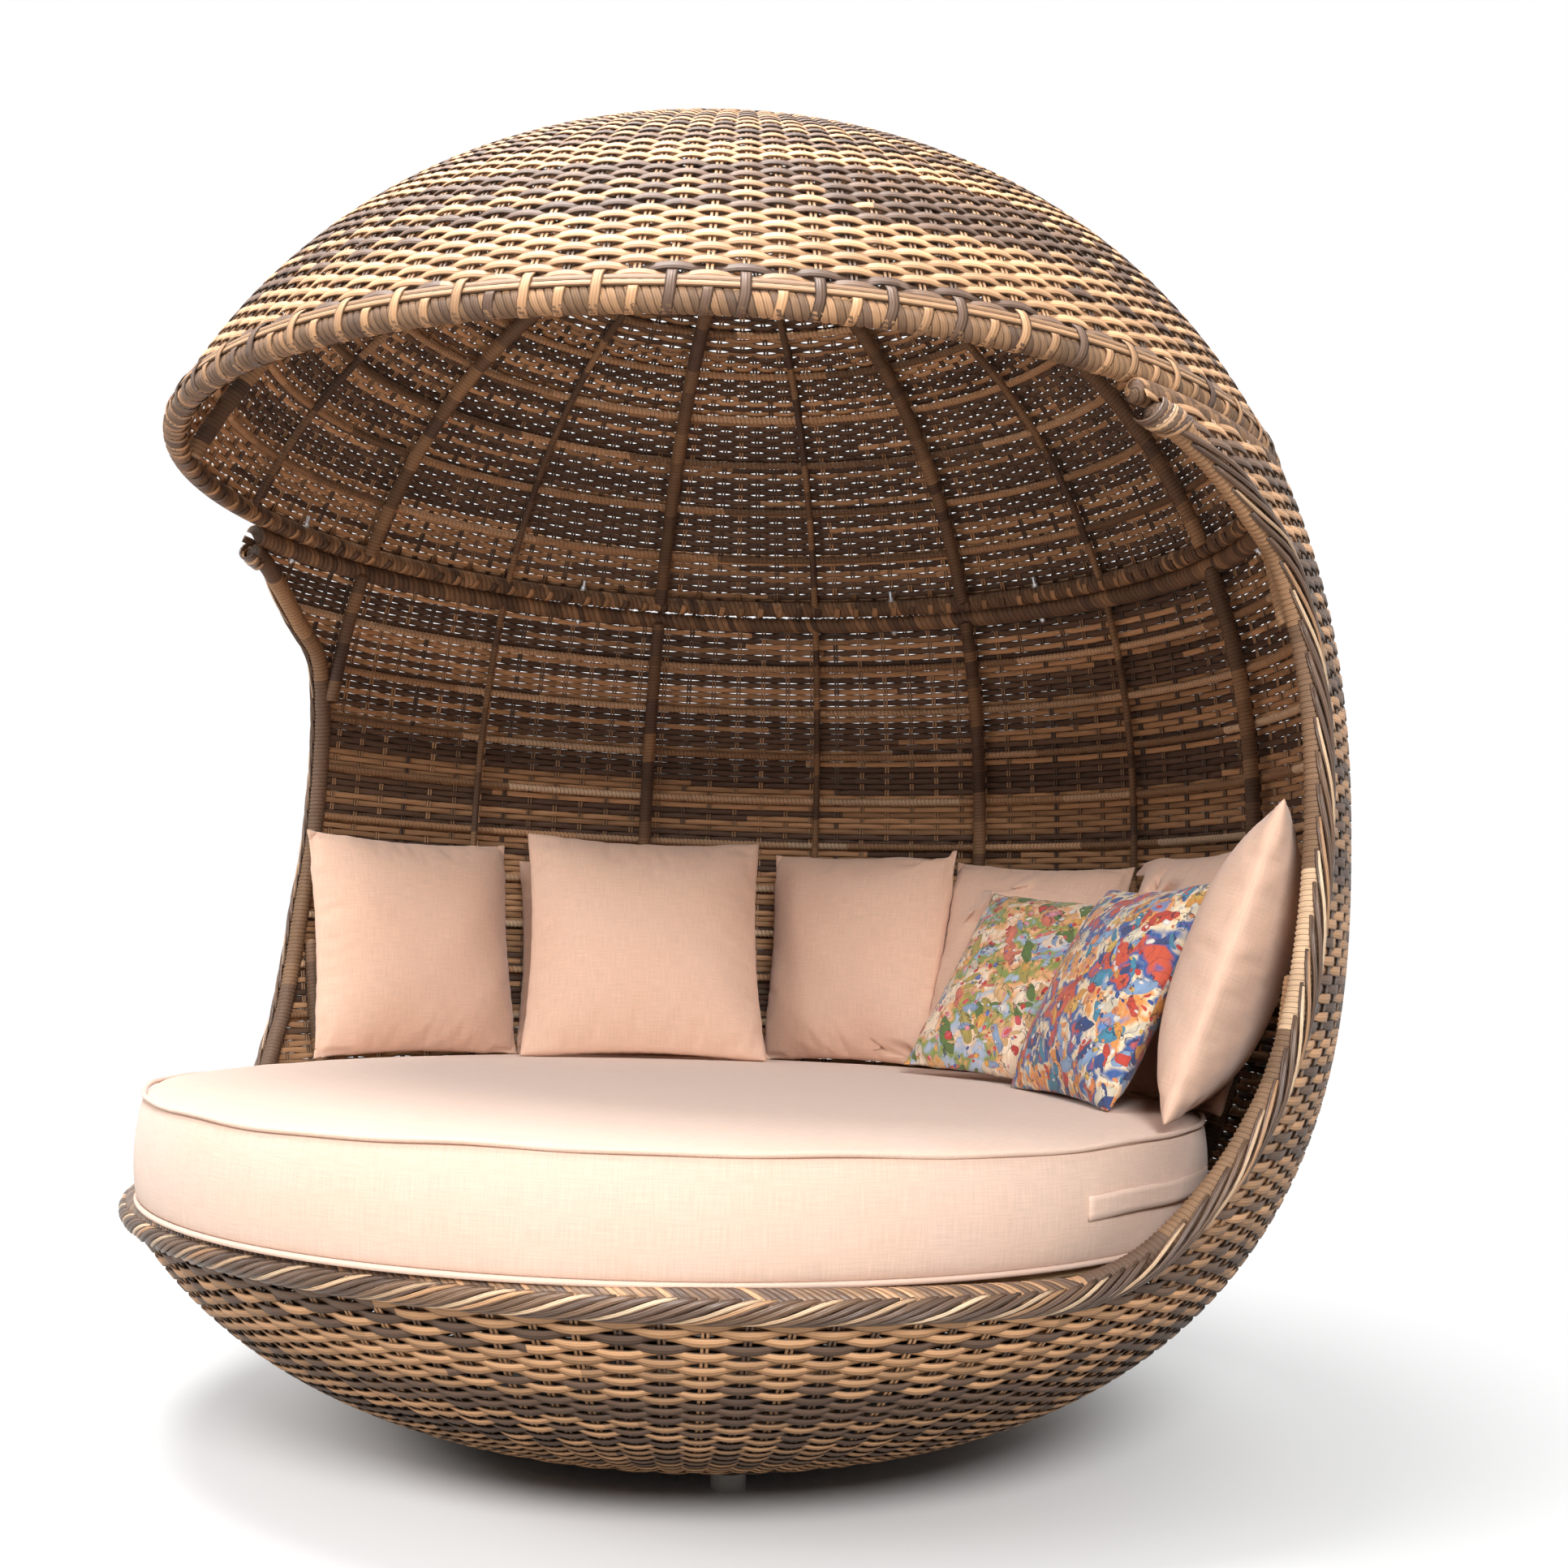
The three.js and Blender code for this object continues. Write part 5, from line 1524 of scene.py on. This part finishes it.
# Light of the surroundings on the object, where the camera sees white
WORLD_LIGHT = 0.13
# The floor as the object's light meets it, and as the camera sees it
FLOOR_COLOURS = (0.42, 0.40, 0.37), (0.95, 0.95, 0.95)
FLOOR_HALF = 14
CAMERA_PLACE = (1.6258, -2.2518 + AXIS_Y, 0.7416)
CAMERA_FORWARD = (-0.5492, 0.8294, 0.1020)
CAMERA_RIGHT = (0.8352, 0.5487, 0.0356)
CAMERA_LENS = 38.566


class DAYBED_OT_stage(PieceOperator):
    """Set up the floor, the soft light and the camera"""

    bl_idname = "daybed.stage"
    bl_label = "Stage"

    def build(self, sizes):
        scene = bpy.context.scene
        shape = bmesh.new()
        bmesh.ops.create_grid(shape, x_segments=1, y_segments=1, size=FLOOR_HALF)
        mesh = mesh_from(shape, "floor")
        floor = bpy.data.objects.new("floor", mesh)
        scene.collection.objects.link(floor)
        mesh.materials.append(self.floor_material())
        self.world(scene)
        for lamp in LAMPS:
            self.lamp(*lamp)
        self.camera(scene)
        scene.view_settings.view_transform = "Standard"

    def floor_material(self):
        """A matt floor that holds the shadow near the object and fades to white away from it."""
        paint = Paint("floor", 1.0, Specular_IOR_Level=0.0)
        camera, seen = paint.rays()
        paint.set("Base Color", paint.mix(camera, *FLOOR_COLOURS))
        x, y, _ = paint.split(paint.object_place())
        away = (x * x + y * y) ** 0.5
        clear = away.smooth(0.4, 1.1, 0.0, 0.6) + away.smooth(1.5, 3.4, 0.0, 0.4)
        matt, white = Value(paint, paint.shader.outputs[0]), paint.node("ShaderNodeEmission", 0)
        blend = paint.node("ShaderNodeMixShader", 0, values={0: seen * clear, 1: matt, 2: white})
        paint.feed(paint.tree.nodes["Material Output"].inputs[0], blend)
        return paint.material

    def world(self, scene):
        """White where it is seen, and dim as a light."""
        world = bpy.data.worlds.new("studio")
        scene.world = world
        world.use_nodes = True
        nodes = Nodes(world.node_tree)
        values = {"Value": nodes.rays()[1], "To Min": WORLD_LIGHT, "To Max": 1.0}
        backdrop = world.node_tree.nodes["Background"].inputs
        nodes.feed(backdrop["Color"], (1, 1, 1))
        nodes.feed(backdrop["Strength"], nodes.node("ShaderNodeMapRange", "Result", values=values))

    def lamp(self, name, place, target, size, power):
        light = bpy.data.lights.new(name, "AREA")
        light.shape = "DISK"
        light.size = size
        light.energy = power
        lamp = bpy.data.objects.new(name, light)
        bpy.context.scene.collection.objects.link(lamp)
        lamp.location = place
        lamp.rotation_euler = (Vector(target) - Vector(place)).to_track_quat("-Z", "Y").to_euler()

    def camera(self, scene):
        """The camera stands where the photograph was taken from."""
        view = bpy.data.cameras.new("camera")
        view.lens = CAMERA_LENS
        view.sensor_width = 36
        view.sensor_fit = "AUTO"
        view.clip_start, view.clip_end = 0.05, 100
        camera = bpy.data.objects.new("camera", view)
        scene.collection.objects.link(camera)
        forward = Vector(CAMERA_FORWARD).normalized()
        up = Vector(CAMERA_RIGHT).normalized().cross(forward).normalized()
        right = forward.cross(up).normalized()
        turn = Matrix((right, up, -forward)).transposed().to_4x4()
        camera.matrix_world = Matrix.Translation(CAMERA_PLACE) @ turn
        scene.camera = camera


class DAYBED_PT_panel(bpy.types.Panel):
    """The daybed's pieces, in the order in which they are made"""

    bl_idname = "DAYBED_PT_panel"
    bl_label = "Daybed with Canopy"
    bl_space_type = "VIEW_3D"
    bl_region_type = "UI"
    bl_category = "Daybed"

    def draw(self, context):
        for group in (context.scene.daybed_sizes, context.scene.daybed_colours):
            for name in group.__annotations__:
                self.layout.prop(group, name)
        for operator in OPERATORS:
            self.layout.operator(operator.bl_idname)


OPERATORS = [
    DAYBED_OT_stage, DAYBED_OT_lower_weave, DAYBED_OT_dome_weave, DAYBED_OT_ribs, DAYBED_OT_rings,
    DAYBED_OT_braid, DAYBED_OT_bolts, DAYBED_OT_mattress, DAYBED_OT_pillows, DAYBED_OT_base,
]
CLASSES = [DaybedSizes, DaybedColours, *OPERATORS, DAYBED_PT_panel]


def register():
    for made in CLASSES:
        bpy.utils.register_class(made)
    bpy.types.Scene.daybed_sizes = PointerProperty(type=DaybedSizes)
    bpy.types.Scene.daybed_colours = PointerProperty(type=DaybedColours)


def unregister():
    del bpy.types.Scene.daybed_colours
    del bpy.types.Scene.daybed_sizes
    for made in reversed(CLASSES):
        bpy.utils.unregister_class(made)


def main():
    register()
    for operator in OPERATORS:
        group, name = operator.bl_idname.split(".")
        getattr(getattr(bpy.ops, group), name)()
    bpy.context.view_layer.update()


if __name__ == "__main__":
    main()
